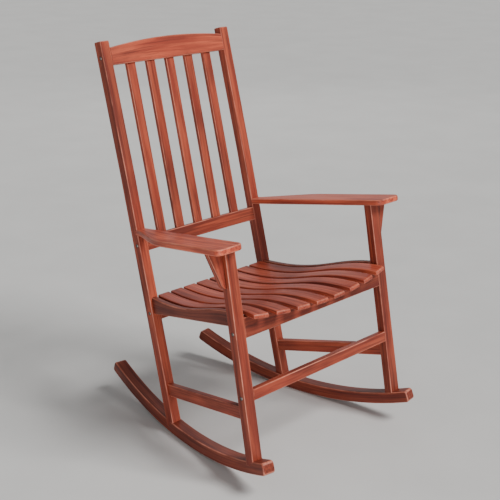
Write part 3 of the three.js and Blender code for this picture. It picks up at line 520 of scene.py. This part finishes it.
def bend(board, place, turned_over=False):
    """Moves every point of the board by place(point), to where it belongs on the chair."""
    for vertex in board.data.vertices:
        vertex.co = place(vertex.co.copy())
    if turned_over:
        bpy.ops.object.mode_set(mode="EDIT")
        bpy.ops.mesh.select_all(action="SELECT")
        bpy.ops.mesh.flip_normals()
        bpy.ops.object.mode_set(mode="OBJECT")


def drill(board, mouth, direction, radius, depth):
    """A round hole from its mouth along a direction."""
    direction = Vector(direction).normalized()
    bpy.ops.object.select_all(action="DESELECT")
    bpy.ops.mesh.primitive_cylinder_add(
        vertices=HOLE_SIDES, radius=radius, depth=2 * depth, location=mouth,
        rotation=direction.to_track_quat("Z", "Y").to_euler(),
    )
    bit = bpy.context.object
    bpy.ops.object.select_all(action="DESELECT")
    board.select_set(True)
    bpy.context.view_layer.objects.active = board
    hole = board.modifiers.new("hole", "BOOLEAN")
    hole.object = bit
    hole.operation = "DIFFERENCE"
    hole.solver = "EXACT"
    bpy.ops.object.modifier_apply(modifier=hole.name)
    bpy.data.objects.remove(bit)


def hang(board, node, material):
    """Smooths a finished piece, paints it and puts it in place of its node."""
    bpy.ops.object.select_all(action="DESELECT")
    board.select_set(True)
    bpy.context.view_layer.objects.active = board
    bpy.ops.object.shade_smooth_by_angle(angle=SMOOTH_ANGLE)
    bpy.ops.object.modifier_add(type="WEIGHTED_NORMAL")
    board.modifiers[-1].keep_sharp = True
    bpy.ops.object.modifier_apply(modifier=board.modifiers[-1].name)
    board.data.materials.clear()
    board.data.materials.append(material)
    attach(board, "root")
    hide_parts(node)


# ---------------------------------------------------------------- finishes
class Tree:
    """Short calls for the nodes of one material."""

    def __init__(self, name):
        self.material = bpy.data.materials.get(name) or bpy.data.materials.new(name)
        self.material.use_nodes = True
        self.nodes = self.material.node_tree.nodes
        self.links = self.material.node_tree.links
        self.nodes.clear()
        output = self.nodes.new("ShaderNodeOutputMaterial")
        self.shader = self.nodes.new("ShaderNodeBsdfPrincipled")
        self.links.new(self.shader.outputs[0], output.inputs[0])

    def put(self, socket, value):
        if isinstance(value, bpy.types.NodeSocket):
            self.links.new(value, socket)
        elif hasattr(value, "__len__") and len(value) == 3 and socket.type == "RGBA":
            socket.default_value = (*value, 1)
        else:
            socket.default_value = value

    def add(self, kind, output=0, settings=None, **inputs):
        node = self.nodes.new("ShaderNode" + kind)
        for key, value in (settings or {}).items():
            setattr(node, key, value)
        for key, value in inputs.items():
            self.put(node.inputs[key.replace("_", " ")], value)
        return node.outputs[output]

    def attribute(self, name, output):
        node = self.nodes.new("ShaderNodeAttribute")
        node.attribute_name = name
        return node.outputs[output]

    def stretched(self, vector, scale):
        return self.add("Mapping", Vector=vector, Scale=scale)

    def noise(self, vector, scale=1, detail=3, roughness=0.55, distortion=0.0):
        return self.add(
            "TexNoise", Vector=vector, Scale=scale, Detail=detail, Roughness=roughness,
            Distortion=distortion,
        )

    def span(self, value, low, high, to_low=0.0, to_high=1.0):
        node = self.nodes.new("ShaderNodeMapRange")
        for index, number in enumerate((value, low, high, to_low, to_high)):
            self.put(node.inputs[index], number)
        return node.outputs[0]

    def mix(self, share, first, second, blend="MIX"):
        node = self.nodes.new("ShaderNodeMix")
        node.data_type = "RGBA"
        node.blend_type = blend
        self.put(node.inputs[0], share)
        self.put(node.inputs[6], first)
        self.put(node.inputs[7], second)
        return node.outputs[2]

    def sum(self, first, second, how="ADD"):
        node = self.nodes.new("ShaderNodeMath")
        node.operation = how
        self.put(node.inputs[0], first)
        self.put(node.inputs[1], second)
        return node.outputs[0]

    def bump(self, height, strength, distance):
        node = self.nodes.new("ShaderNodeBump")
        self.put(node.inputs["Strength"], strength)
        self.put(node.inputs["Distance"], distance)
        self.put(node.inputs["Height"], height)
        return node.outputs[0]

    def finish(self, **inputs):
        for key, value in inputs.items():
            self.put(self.shader.inputs[key.replace("_", " ")], value)
        return self.material


def stained_wood():
    """Red-brown stain on hardwood: long grain, pores, blotches, painted light and shade by piece, and
    rubbed edges with a painted highlight.
    """
    name = "stained_hardwood"
    if name in bpy.data.materials:
        return bpy.data.materials[name]
    c = bpy.context.scene.rocker_stain
    tree = Tree(name)
    grain = tree.attribute("grain", "Vector")
    tone_and_painted_light = tree.attribute("tone_and_painted_light", "Fac")
    worn_and_painted_highlight = tree.attribute("worn_and_painted_highlight", "Fac")
    bands = tree.noise(tree.stretched(grain, (75, 75, 3.5)), roughness=0.5, distortion=0.8)
    streaks = tree.noise(
        tree.stretched(grain, (170, 170, 5)), detail=5, roughness=0.6, distortion=0.3)
    pores = tree.noise(tree.stretched(grain, (900, 900, 26)), detail=2, roughness=0.5)
    blotch = tree.noise(tree.stretched(grain, (9, 9, 5)), detail=2, roughness=0.5)
    base = tree.mix(tree.span(bands, 0.38, 0.62), c.body, c.pale)
    base = tree.mix(tree.span(streaks, 0.49, 0.68, 0, 0.65), base, c.deep)
    base = tree.mix(tree.span(pores, 0.62, 0.75, 0, 0.5), base, c.deep)
    base = tree.mix(tree.span(blotch, 0.45, 0.64, 0, 0.4), base, c.deep)
    # Lightens or darkens each piece for its stain and for painted light and shade.
    shaded = tree.add("HueSaturation", Value=tone_and_painted_light, Color=base)
    # The pale edge colour is rubbed stain and also a painted highlight along the arrises, broken up by
    # chips.
    chips = tree.noise(tree.stretched(grain, (60, 60, 14)), roughness=0.65)
    rub_and_highlight = tree.sum(
        tree.span(worn_and_painted_highlight, 0.4, 0.9), tree.span(chips, 0.34, 0.64, 0.12, 0.8), "MULTIPLY")
    shown = tree.mix(rub_and_highlight, shaded, c.worn_and_painted_highlight)
    rough = tree.sum(
        tree.span(blotch, 0.3, 0.7, 0.38, 0.5), tree.span(streaks, 0.4, 0.75, 0, 0.12))
    relief = tree.sum(streaks, tree.sum(pores, 0.5, "MULTIPLY"))
    return tree.finish(
        Base_Color=shown, Roughness=rough, Normal=tree.bump(relief, 0.22, 0.0006),
        Coat_Weight=0.08, Coat_Roughness=0.25, Specular_IOR_Level=0.25,
    )


def plated_steel(name, shade, roughness):
    """Machined metal with faint brushing and dull patches."""
    if name in bpy.data.materials:
        return bpy.data.materials[name]
    tree = Tree(name)
    place = tree.add("TexCoord", output=3)
    brushed = tree.noise(tree.stretched(place, (2600, 500, 500)))
    dull = tree.noise(place, scale=240)
    base = tree.mix(tree.span(dull, 0.4, 0.7, 0, 0.55), shade, [value * 0.6 for value in shade])
    rough = tree.sum(tree.span(dull, 0.3, 0.7, roughness, roughness + 0.18),
                     tree.span(brushed, 0.3, 0.7, 0, 0.08))
    return tree.finish(
        Base_Color=base, Roughness=rough, Metallic=0.9, Normal=tree.bump(brushed, 0.15, 0.0002),
    )


# ---------------------------------------------------------------- pieces
class Piece(bpy.types.Operator):
    """Shared words of the operators."""

    bl_options = {"REGISTER", "UNDO"}


def bolt_seats(board, side, frame, outer, heights):
    """The dark ring around each bolt head."""
    for height in heights:
        mouth = frame @ Vector((side * outer, BOLT_INSET, height))
        drill(board, mouth, (side, 0, 0), BOLT_SEAT, BOLT_SEAT_DEPTH)


def nut_holes(board, frame, inner, height):
    """The cross holes for the barrel nuts, open at the back of a rail."""
    f = sizes()[0]
    for side in SIDES.values():
        mouth = frame @ Vector((side * (inner - NUT_SETBACK), f.rail + NUT_START, height))
        drill(board, mouth, frame.to_3x3() @ Vector((0, 1, 0)), NUT_HOLE, NUT_HOLE_DEPTH)


def bolt_heights():
    """How far up each frame the bolts sit."""
    f, _, _, b = sizes()
    return {
        "apron": along(f.leg_rake, APRON_BOLT),
        "stretcher": along(f.leg_rake, STRETCHER_BOLT),
        "seat": along(f.post_rake, REAR_RAIL_BOLT),
        "lower": along(f.post_rake, b.lower_bottom + b.lower_height / 2),
        "crest": upper_height(crest_bottom() + b.crest_end * CREST_BOLT),
    }


class ROCKER_OT_rockers(Piece):
    """Adds the two curved rockers"""

    bl_idname = "rocker.rockers"
    bl_label = "Rockers"

    def execute(self, context):
        f = sizes()[0]
        line = rocker_line()
        heel = line.at(f.rocker_contact)
        toe = abs(line.back.x) * f.rocker_thickness
        low = (-f.rocker_span / 2 - f.rocker_contact + toe) / line.back.y
        high = (f.rocker_span / 2 - f.rocker_contact) / line.back.y
        radius = f.rocker_radius

        for word, side in SIDES.items():
            def place(p):
                angle = math.asin(p.y / radius)
                reach = (radius - p.z) * math.sin(angle)
                z = radius - (radius - p.z) * math.cos(angle)
                spot = line.point(heel + reach, p.x, z)
                return Vector((side * spot.x, spot.y, spot.z))

            board = saw(f"{word}_rocker_runner", (0, low, 0),
                        (f.rocker_thickness, high, f.rocker_height))
            pick(board, lambda a, b: abs(a.y - b.y) < MM and abs(a.z - b.z) < MM)
            ease(ROCKER_CORNER, 4)
            pick(board, lambda a, b: abs(a.x - b.x) < MM / 10)
            ease(f.arris * 1.2)
            slice_along(Y, steps(low + ROCKER_END, high - ROCKER_END, ROCKER_CUTS))
            mark_wood(board, Y, 3 + side, STAIN_AND_PAINTED_LIGHT["rocker"])
            bend(board, place, turned_over=side == LEFT)
            hang(board, f"{word}_rocker", stained_wood())
        return {"FINISHED"}


class ROCKER_OT_legs(Piece):
    """Adds the two front legs"""

    bl_idname = "rocker.legs"
    bl_label = "Front legs"

    def execute(self, context):
        f = sizes()[0]
        frame_of = leg_frame()
        depth = f.leg_depth / math.hypot(1, f.leg_rake)
        middle = (frame_of @ Vector((0, depth / 2, FOOT_LEVEL))).y
        foot = running_height(middle) + f.rocker_height - FOOT_SINK
        heights = bolt_heights()
        for word, side in SIDES.items():
            inner, outer = f.leg_half - f.leg_width, f.leg_half
            low, high = sorted((side * inner, side * outer))
            board = saw(f"{word}_leg", (low, 0, foot), (high, depth, arm_meets_leg() + HIDDEN_END))
            pick(board, lengthwise(Z))
            ease(f.arris)
            mark_wood(board, Z, 11 + side, STAIN_AND_PAINTED_LIGHT["leg"])
            bend(board, lambda p: frame_of @ p)
            bolt_seats(board, side, frame_of, outer, (heights["apron"], heights["stretcher"]))
            hang(board, f"{word}_front_leg", stained_wood())
        return {"FINISHED"}


class ROCKER_OT_posts(Piece):
    """Adds the two back posts"""

    bl_idname = "rocker.posts"
    bl_label = "Back posts"

    def execute(self, context):
        f, _, a, _ = sizes()
        upper = upper_back_frame()
        depth = f.post_depth / math.hypot(1, f.post_upper_rake)
        foot = upper_height(f.rocker_height - FOOT_SINK)
        top = upper_height(f.height)
        heights = bolt_heights()

        def place(p):
            spot = upper @ p
            if p.z < 0:
                spot.y += (f.post_upper_rake - f.post_rake) * (f.post_bend - spot.z)
            return spot

        for word, side in SIDES.items():
            inner, outer = f.post_half - f.post_width, f.post_half
            low, high = sorted((side * inner, side * outer))
            board = saw(f"{word}_post", (low, 0, foot), (high, depth, top))
            slice_along(Z, (-BEND_LINE, BEND_LINE))
            pick(board, lambda a, b: math.hypot(a.x - b.x, a.y - b.y) < MM / 10
                 or min(a.z, b.z) > top - MM)
            ease(f.arris)
            mark_wood(board, Z, 21 + side, STAIN_AND_PAINTED_LIGHT["post"])
            bend(board, place)
            bolt_seats(board, side, upper, outer, (heights["crest"],))
            bolt_seats(board, side, lower_back_frame(), outer, (heights["seat"], heights["lower"]))
            screw = arm_frame() @ Vector(
                (side * (inner + outer) / 2, f.post_depth + SCREW_START, -a.thickness / 2))
            drill(board, screw, arm_frame().to_3x3() @ Vector((0, 1, 0)), BOLT_SEAT,
                  SCREW_SEAT_DEPTH)
            hang(board, f"{word}_back_post", stained_wood())
        return {"FINISHED"}


def cross_rail(name, node, frame_of, inner, low, high, seed, stain,
               shape=None, nut=None, arris=None):
    """A rail between the two sides; low and high are heights along its frame."""
    f = sizes()[0]
    reach = inner - JOINT_LINE
    board = saw(name, (-reach, 0, low), (reach, f.rail, high))
    pick(board, lengthwise(X))
    ease(arris or f.arris)
    if shape:
        slice_along(X, steps(-reach, reach, RAIL_CUTS))
    # The stain value of a rail also carries painted light and shade.
    mark_wood(board, X, seed, stain)
    middle = (low + high) / 2
    bend(board, lambda p: frame_of @ (shape(p, p.z > middle) if shape else p))
    if nut:
        nut_holes(board, frame_of, inner, nut)
    hang(board, node, stained_wood())


class ROCKER_OT_lower_rails(Piece):
    """Adds the front stretcher, the apron and the rear seat rail"""

    bl_idname = "rocker.lower_rails"
    bl_label = "Lower rails"

    def execute(self, context):
        f = sizes()[0]
        legs, posts = leg_frame(), lower_back_frame()
        leg_inner, post_inner = f.leg_half - f.leg_width, f.post_half - f.post_width
        heights = bolt_heights()

        def under_seat(frame_of, rake, top):
            def shape(p, upper):
                if not upper:
                    return p
                spot = frame_of @ Vector((p.x, p.y, top))
                for _ in range(3):
                    height = seat_under(p.x, spot.y)
                    spot.y += rake * (height - spot.z)
                    spot.z = height
                local = frame_of.inverted() @ spot
                return Vector((p.x, p.y, local.z - (top - p.z)))
            return shape

        cross_rail("front_stretcher_bar", "front_stretcher", legs, leg_inner,
                   along(f.leg_rake, STRETCHER_BOTTOM), along(f.leg_rake, STRETCHER_TOP), 31,
                   STAIN_AND_PAINTED_LIGHT["front_stretcher"], nut=heights["stretcher"])
        top = along(f.leg_rake, APRON_TOP)
        cross_rail("front_apron_board", "front_apron", legs, leg_inner,
                   along(f.leg_rake, APRON_BOTTOM), top, 33, STAIN_AND_PAINTED_LIGHT["apron"],
                   shape=under_seat(legs, f.leg_rake, top), nut=heights["apron"])
        top = along(f.post_rake, REAR_RAIL_TOP)
        cross_rail("rear_seat_board", "rear_seat_rail", posts, post_inner,
                   along(f.post_rake, REAR_RAIL_BOTTOM), top, 35, STAIN_AND_PAINTED_LIGHT["rear_rail"],
                   shape=under_seat(posts, f.post_rake, top), nut=heights["seat"])
        return {"FINISHED"}


class ROCKER_OT_back_rails(Piece):
    """Adds the arched crest rail and the bowed lower back rail"""

    bl_idname = "rocker.back_rails"
    bl_label = "Back rails"

    def execute(self, context):
        f, _, _, b = sizes()
        inner = f.post_half - f.post_width
        heights = bolt_heights()

        def arched(p, upper):
            rise = b.crest_arch * (1 - (p.x / inner) ** 2)
            return Vector((p.x, p.y, p.z + rise)) if upper else p

        def bowed(p, _upper):
            return Vector((p.x, p.y + b.lower_bow * (1 - (p.x / inner) ** 2), p.z))

        low = upper_height(crest_bottom())
        cross_rail("crest_board", "crest_rail", upper_back_frame(), inner,
                   low, low + b.crest_end, 41, STAIN_AND_PAINTED_LIGHT["crest"], shape=arched,
                   nut=heights["crest"], arris=CREST_ARRIS)
        low = along(f.post_rake, b.lower_bottom)
        high = along(f.post_rake, b.lower_bottom + b.lower_height)
        cross_rail("lower_back_board", "lower_back_rail", lower_back_frame(), inner,
                   low, high, 43, STAIN_AND_PAINTED_LIGHT["lower_rail"], shape=bowed, nut=heights["lower"])
        return {"FINISHED"}


class ROCKER_OT_back_slats(Piece):
    """Adds the slats of the back"""

    bl_idname = "rocker.back_slats"
    bl_label = "Back slats"

    def execute(self, context):
        f, _, _, b = sizes()
        inner = f.post_half - f.post_width
        lower, upper = lower_back_frame(), upper_back_frame()
        for k in range(b.slats):
            x = (k - (b.slats - 1) / 2) * (b.slat_width + b.slat_gap)
            bow = b.lower_bow * (1 - (x / inner) ** 2)
            half, deep = b.slat_width / 2, b.slat_thickness / 2
            middle = b.slat_setback + deep
            level = along(f.post_rake, b.lower_bottom + b.lower_height)
            foot = lower @ Vector((x, bow + middle, level))
            head = upper @ Vector((x, middle, upper_height(crest_bottom())))
            rise = head - foot
            frame_of = leaning(rise.y / rise.z, foot.y, foot.z)
            board = saw(f"back_slat_board_{k + 1}", (x - half, -deep, -HIDDEN_END),
                        (x + half, deep, rise.length + HIDDEN_END))
            pick(board, lengthwise(Z))
            ease(b.arris)
            mark_wood(board, Z, 51 + k, STAIN_AND_PAINTED_LIGHT["back_slat"])
            bend(board, lambda p: frame_of @ p)
            hang(board, f"back_slat_{k + 1}", stained_wood())
        return {"FINISHED"}


class ROCKER_OT_seat_slats(Piece):
    """Adds the bent and fanned slats of the seat"""

    bl_idname = "rocker.seat_slats"
    bl_label = "Seat slats"

    def execute(self, context):
        s = sizes()[1]
        front, rear = seat_halves()
        run = seat_rear(0) - seat_front(0)
        half = s.slat_width / 2
        for k in range(s.slats):
            place_across = (s.slats - 1) / 2 - k
            pitch = lambda wide: (2 * wide - s.slat_width) / (s.slats - 1)

            def place(p):
                share = p.y / run
                x = p.x + place_across * lerp(pitch(rear), pitch(front), share)
                return seat_point(x, share, -p.z)

            board = saw(f"seat_slat_board_{k + 1}", (-half, 0, -s.slat_thickness), (half, run, 0))
            across = lambda a, b: abs(a.x - b.x) > MM
            pick(board, lambda a, b: across(a, b) and min(a.y, b.y) > run / 2 and a.z > -MM)
            ease(s.nose, 5)
            pick(board, lambda a, b: across(a, b) and min(a.y, b.y) > run / 2
                 and max(a.z, b.z) < -s.slat_thickness + MM / 10)
            ease(s.nose_under, 4)
            pick(board, lambda a, b: not across(a, b) or max(a.y, b.y) < MM)
            ease(s.arris)
            slice_along(Y, steps(SLAT_REAR_END, run - SLAT_FRONT_END, SLAT_CUTS))
            mark_wood(board, Y, 61 + k, STAIN_AND_PAINTED_LIGHT["seat_slat"], wear_and_painted_highlight=SEAT_SLAT_WEAR_AND_HIGHLIGHT)
            bend(board, place, turned_over=True)
            hang(board, f"seat_slat_{k + 1}", stained_wood())
        return {"FINISHED"}


class ROCKER_OT_side_rails(Piece):
    """Adds the shaped side rails of the seat and the bearer between them"""

    bl_idname = "rocker.side_rails"
    bl_label = "Side seat rails"

    def execute(self, context):
        f, s, _, _ = sizes()
        front_y, rear_y = leg_rear(s.front_height), post_front(s.rear_height)
        line = Slanted((f.leg_half - SIDE_RAIL_INSET[0], front_y),
                       (f.post_half - SIDE_RAIL_INSET[1], rear_y))
        low = line.at(front_y - SIDE_RAIL_RUN_ON[0])
        high = line.at(rear_y + SIDE_RAIL_RUN_ON[1])
        for word, side in SIDES.items():
            def place(p):
                y = line.front.y + p.y * line.back.y
                share = (y - front_y) / (rear_y - front_y)
                under = lerp(*SIDE_RAIL_BOTTOM, share)
                top = seat_edge_height(y)
                upper = p.z > SIDE_RAIL_BLANK / 2
                z = top - (SIDE_RAIL_BLANK - p.z) if upper else under + p.z
                spot = line.point(p.y, p.x, z)
                return Vector((side * spot.x, spot.y, spot.z))

            board = saw(f"{word}_side_board", (0, low, 0),
                        (SIDE_RAIL_THICKNESS, high, SIDE_RAIL_BLANK))
            pick(board, lengthwise(Y))
            ease(f.arris * 1.3)
            slice_along(Y, steps(low, high, SIDE_RAIL_CUTS))
            mark_wood(board, Y, 71 + side, STAIN_AND_PAINTED_LIGHT["side_rail"])
            bend(board, place, turned_over=side == LEFT)
            hang(board, f"{word}_side_seat_rail", stained_wood())
        self.bearer(line)
        return {"FINISHED"}

    def bearer(self, line):
        y = lerp(seat_rear(0), seat_front(0), BEARER_PLACE)
        half = line.point(line.at(y), SIDE_RAIL_THICKNESS - BEARER_HOUSING, 0).x
        run = seat_rear(0) - seat_front(0)
        top = sizes()[1].slat_thickness + SLAT_BED
        board = saw("bearer_bar", (-half, -BEARER_WIDTH / 2, -BEARER_HEIGHT),
                    (half, BEARER_WIDTH / 2, 0))
        pick(board, lengthwise(X))
        ease(BEARER_ARRIS)
        slice_along(X, steps(-half, half, RAIL_CUTS))
        mark_wood(board, X, 77, STAIN_AND_PAINTED_LIGHT["bearer"])
        bend(board, lambda p: seat_point(p.x, BEARER_PLACE - p.y / run, top - p.z))
        hang(board, "mid_seat_bearer", stained_wood())


class ROCKER_OT_side_stretchers(Piece):
    """Adds the sloping stretchers at the sides"""

    bl_idname = "rocker.side_stretchers"
    bl_label = "Side stretchers"

    def execute(self, context):
        f = sizes()[0]
        thick, tall = SIDE_STRETCHER_THICKNESS, SIDE_STRETCHER_HEIGHT
        front, rear = SIDE_STRETCHER_BOTTOM
        front_y, rear_y = leg_rear(front), post_front(rear)
        line = Slanted((f.leg_half - (f.leg_width - thick) / 2, front_y),
                       (f.post_half - (f.post_width - thick) / 2, rear_y))
        rise = (front - rear) / (front_y - rear_y)
        low = line.at(front_y - SIDE_STRETCHER_RUN_ON[0])
        high = line.at(rear_y + SIDE_STRETCHER_RUN_ON[1])
        for word, side in SIDES.items():
            def place(p):
                y = line.front.y + p.y * line.back.y
                spot = line.point(p.y, p.x, front + rise * (y - front_y) + p.z)
                return Vector((side * spot.x, spot.y, spot.z))

            board = saw(f"{word}_stretcher_bar", (0, low, 0), (thick, high, tall))
            pick(board, lengthwise(Y))
            ease(f.arris)
            mark_wood(board, Y, 81 + side, STAIN_AND_PAINTED_LIGHT["side_stretcher"])
            bend(board, place, turned_over=side == LEFT)
            hang(board, f"{word}_side_stretcher", stained_wood())
        return {"FINISHED"}


class ROCKER_OT_arms(Piece):
    """Adds the flared armrests"""

    bl_idname = "rocker.arms"
    bl_label = "Armrests"

    def execute(self, context):
        f, _, a, _ = sizes()
        rear_y = post_front(a.rear_height)
        front_y = leg_front(arm_under(f.leg_foot)) - a.overhang
        stretch = math.hypot(1, a.slope)
        run = (rear_y - front_y) * stretch
        post_inner, post_outer = f.post_half - f.post_width, f.post_half
        front_inner = f.leg_half - f.leg_width + a.setback
        flare = (post_inner - front_inner) / (rear_y - front_y)
        sweep = a.sweep

        def inner_edge(back):
            return post_inner - flare * max(back, 0)

        curve = self.sweep_curve(post_outer, post_inner + a.width - flare * sweep, sweep, flare)

        def outer_edge(back):
            if back >= sweep:
                return post_inner - flare * back + a.width
            return curve(max(back, 0))

        frame_of = arm_frame()
        half = a.width / 2
        for word, side in SIDES.items():
            def place(p):
                back = p.y / stretch
                inner, outer = inner_edge(back), outer_edge(back)
                x = outer - (half - p.x) if p.x > 0 else inner + (half + p.x)
                return frame_of @ Vector((side * x, -p.y, p.z))

            board = saw(f"{word}_arm_board", (-half, -HIDDEN_END, -a.thickness), (half, run, 0))
            pick(board, lambda p, q: abs(p.z - q.z) > MM and min(p.y, q.y) > run / 2)
            ease(a.corner, 10)
            pick(board, lambda p, q: abs(p.z - q.z) < MM / 10)
            ease(a.arris, 4)
            slice_along(Y, steps(0, run - a.corner - a.arris, ARM_CUTS))
            mark_wood(board, Y, 91 + side, STAIN_AND_PAINTED_LIGHT["arm"], flat_edges=True)
            bend(board, place, turned_over=side == RIGHT)
            self.outward(board)
            hang(board, f"{word}_armrest", stained_wood())
        return {"FINISHED"}

    @staticmethod
    def outward(board):
        """Makes every face of a closed board point outwards."""
        bpy.ops.object.mode_set(mode="EDIT")
        bpy.ops.mesh.select_all(action="SELECT")
        bpy.ops.mesh.normals_make_consistent(inside=False)
        bpy.ops.object.mode_set(mode="OBJECT")

    @staticmethod
    def sweep_curve(start, end, sweep, flare):
        """Half width of the outer edge against the distance from the post."""
        out, on = SWEEP_START
        across = (start, start + out * sweep, end - SWEEP_END * sweep * abs(flare), end)
        onward = (0, on * sweep, (1 - SWEEP_END) * sweep, sweep)

        def bezier(values, t):
            u = 1 - t
            a, b, c, d = values
            return a * u**3 + 3 * b * u * u * t + 3 * c * u * t * t + d * t**3

        def at(distance):
            low, high = 0.0, 1.0
            for _ in range(30):
                middle = (low + high) / 2
                if bezier(onward, middle) < distance:
                    low = middle
                else:
                    high = middle
            return bezier(across, low)

        return at


class ROCKER_OT_corbels(Piece):
    """Adds the tapered corbels under the arms"""

    bl_idname = "rocker.corbels"
    bl_label = "Corbels"

    def execute(self, context):
        f, _, a, _ = sizes()
        frame_of = leg_frame()
        rear = f.leg_depth / math.hypot(1, f.leg_rake)
        top = arm_meets_leg()
        wide, tall = a.corbel_width, a.corbel_height
        taper = (a.corbel_width - a.corbel_foot) / a.corbel_taper

        def outer_edge(down):
            edge = wide - taper * down
            if down > tall - CORBEL_TIP:
                share = (down - (tall - CORBEL_TIP)) / CORBEL_TIP
                edge *= lerp(CORBEL_TIP_WIDTH, 1, math.sqrt(max(0, 1 - share * share)))
            return edge

        for word, side in SIDES.items():
            def place(p):
                edge = outer_edge(-p.z)
                outer = p.x > wide / 2
                x = max(edge - (wide - p.x), 0) if outer else p.x * min(1, edge / CORBEL_THIN)
                return frame_of @ Vector((side * (f.leg_half + x), p.y, top + p.z))

            board = saw(f"{word}_corbel_block", (0, rear - a.corbel_thickness, -tall),
                        (wide, rear, HIDDEN_END))
            pick(board, lengthwise(Z))
            ease(CORBEL_ARRIS)
            fine = -tall + CORBEL_FINE
            slice_along(Z, steps(fine, 0, 4) + steps(-tall, fine, 8))
            mark_wood(board, Z, 101 + side, STAIN_AND_PAINTED_LIGHT["corbel"])
            bend(board, place)
            ROCKER_OT_arms.outward(board)
            hang(board, f"{word}_arm_corbel", stained_wood())
        return {"FINISHED"}


class ROCKER_OT_hardware(Piece):
    """Finishes the bolts, nuts and screws"""

    bl_idname = "rocker.hardware"
    bl_label = "Hardware"

    def execute(self, context):
        c = context.scene.rocker_stain
        steel = plated_steel("bolt_head_steel", c.steel, 0.24)
        zinc = plated_steel("zinc_plating", c.zinc, 0.38)
        for name, node in frame["nodes"].items():
            if name.endswith("_bolt"):
                node.data.materials.clear()
                node.data.materials.append(steel)
            elif name.endswith(("_nut", "_screw")):
                node.data.materials.clear()
                node.data.materials.append(zinc)
        return {"FINISHED"}


class ROCKER_OT_stage(Piece):
    """Adds the floor, the lights and the camera"""

    bl_idname = "rocker.stage"
    bl_label = "Stage"

    def execute(self, context):
        self.floor(context.scene.rocker_stain.floor)
        self.sun(place=(1.1, -3.4, 3.9), strength=3.4, spread=22)
        self.lamp("sheen", place=(3.3, 3.5, 2.3), target=(0, 0, 0.5), size=2.6, power=14)
        self.lamp("fill", place=(-1.9, -2.3, 0.7), target=(-0.3, -0.2, 0.35), size=1.5, power=36)
        world = context.scene.world or bpy.data.worlds.new("studio")
        context.scene.world = world
        world.use_nodes = True
        world.node_tree.nodes["Background"].inputs[0].default_value = (0.86, 0.88, 0.9, 1)
        world.node_tree.nodes["Background"].inputs[1].default_value = 0.3
        self.camera()
        return {"FINISHED"}

    def floor(self, shade):
        bpy.ops.object.select_all(action="DESELECT")
        bpy.ops.mesh.primitive_plane_add(size=60, location=(0, 0, 0))
        floor = bpy.context.object
        floor.name = "floor"
        tree = Tree("pale_floor")
        place = tree.add("TexCoord", output=3)
        mottle = tree.noise(place, scale=3, detail=5)
        base = tree.mix(tree.span(mottle, 0.35, 0.65), shade, [value * 0.95 for value in shade])
        floor.data.materials.append(tree.finish(Base_Color=base, Roughness=0.8))

    def sun(self, place, strength, spread):
        """The soft key light, shining from a place towards the chair."""
        bpy.ops.object.light_add(type="SUN", location=place)
        sun = bpy.context.object
        sun.name = "key"
        sun.data.energy = strength
        sun.data.angle = math.radians(spread)
        sun.rotation_euler = (-Vector(place)).to_track_quat("-Z", "Y").to_euler()

    def lamp(self, name, place, target, size, power):
        bpy.ops.object.light_add(type="AREA", location=place)
        lamp = bpy.context.object
        lamp.name = name
        lamp.data.energy = power
        lamp.data.size = size
        aim = Vector(target) - Vector(place)
        lamp.rotation_euler = aim.to_track_quat("-Z", "Y").to_euler()

    def camera(self):
        azimuth, elevation, roll = (math.radians(v) for v in CAMERA_ANGLES)
        back = Vector((math.sin(azimuth) * math.cos(elevation),
                       -math.cos(azimuth) * math.cos(elevation), math.sin(elevation)))
        right = Vector((math.cos(azimuth), math.sin(azimuth), 0))
        up = back.cross(right)
        across = right * math.cos(roll) + up * math.sin(roll)
        upward = up * math.cos(roll) - right * math.sin(roll)
        turn = Matrix((across, upward, back)).transposed().to_4x4()
        bpy.ops.object.camera_add()
        camera = bpy.context.object
        camera.matrix_world = Matrix.Translation(Vector(CAMERA_TARGET) + back * CAMERA_DISTANCE) @ turn
        camera.data.sensor_width = CAMERA_SENSOR
        camera.data.lens = CAMERA_LENS
        camera.data.shift_x, camera.data.shift_y = CAMERA_SHIFT
        bpy.context.scene.camera = camera


OPERATORS = (
    ROCKER_OT_rockers, ROCKER_OT_legs, ROCKER_OT_posts, ROCKER_OT_lower_rails,
    ROCKER_OT_side_stretchers, ROCKER_OT_side_rails, ROCKER_OT_seat_slats,
    ROCKER_OT_back_rails, ROCKER_OT_back_slats, ROCKER_OT_arms, ROCKER_OT_corbels,
    ROCKER_OT_hardware, ROCKER_OT_stage,
)


class ROCKER_PT_panel(bpy.types.Panel):
    """Lists the pieces of the rocking chair"""

    bl_label = "Rocking chair"
    bl_idname = "ROCKER_PT_panel"
    bl_space_type = "VIEW_3D"
    bl_region_type = "UI"
    bl_category = "Rocker"

    def draw(self, context):
        for operator in OPERATORS:
            self.layout.operator(operator.bl_idname)
        for name, group in GROUPS.items():
            box = self.layout.box()
            box.label(text=group.__doc__)
            for key in group.__annotations__:
                box.prop(getattr(context.scene, name), key)


CLASSES = (*GROUPS.values(), *OPERATORS, ROCKER_PT_panel)


def register():
    for item in CLASSES:
        bpy.utils.register_class(item)
    for name, group in GROUPS.items():
        setattr(bpy.types.Scene, name, PointerProperty(type=group))


def unregister():
    for name in GROUPS:
        delattr(bpy.types.Scene, name)
    for item in reversed(CLASSES):
        bpy.utils.unregister_class(item)


def main():
    register()
    for operator in OPERATORS:
        family, action = operator.bl_idname.split(".")
        getattr(getattr(bpy.ops, family), action)()


if __name__ == "__main__":
    main()
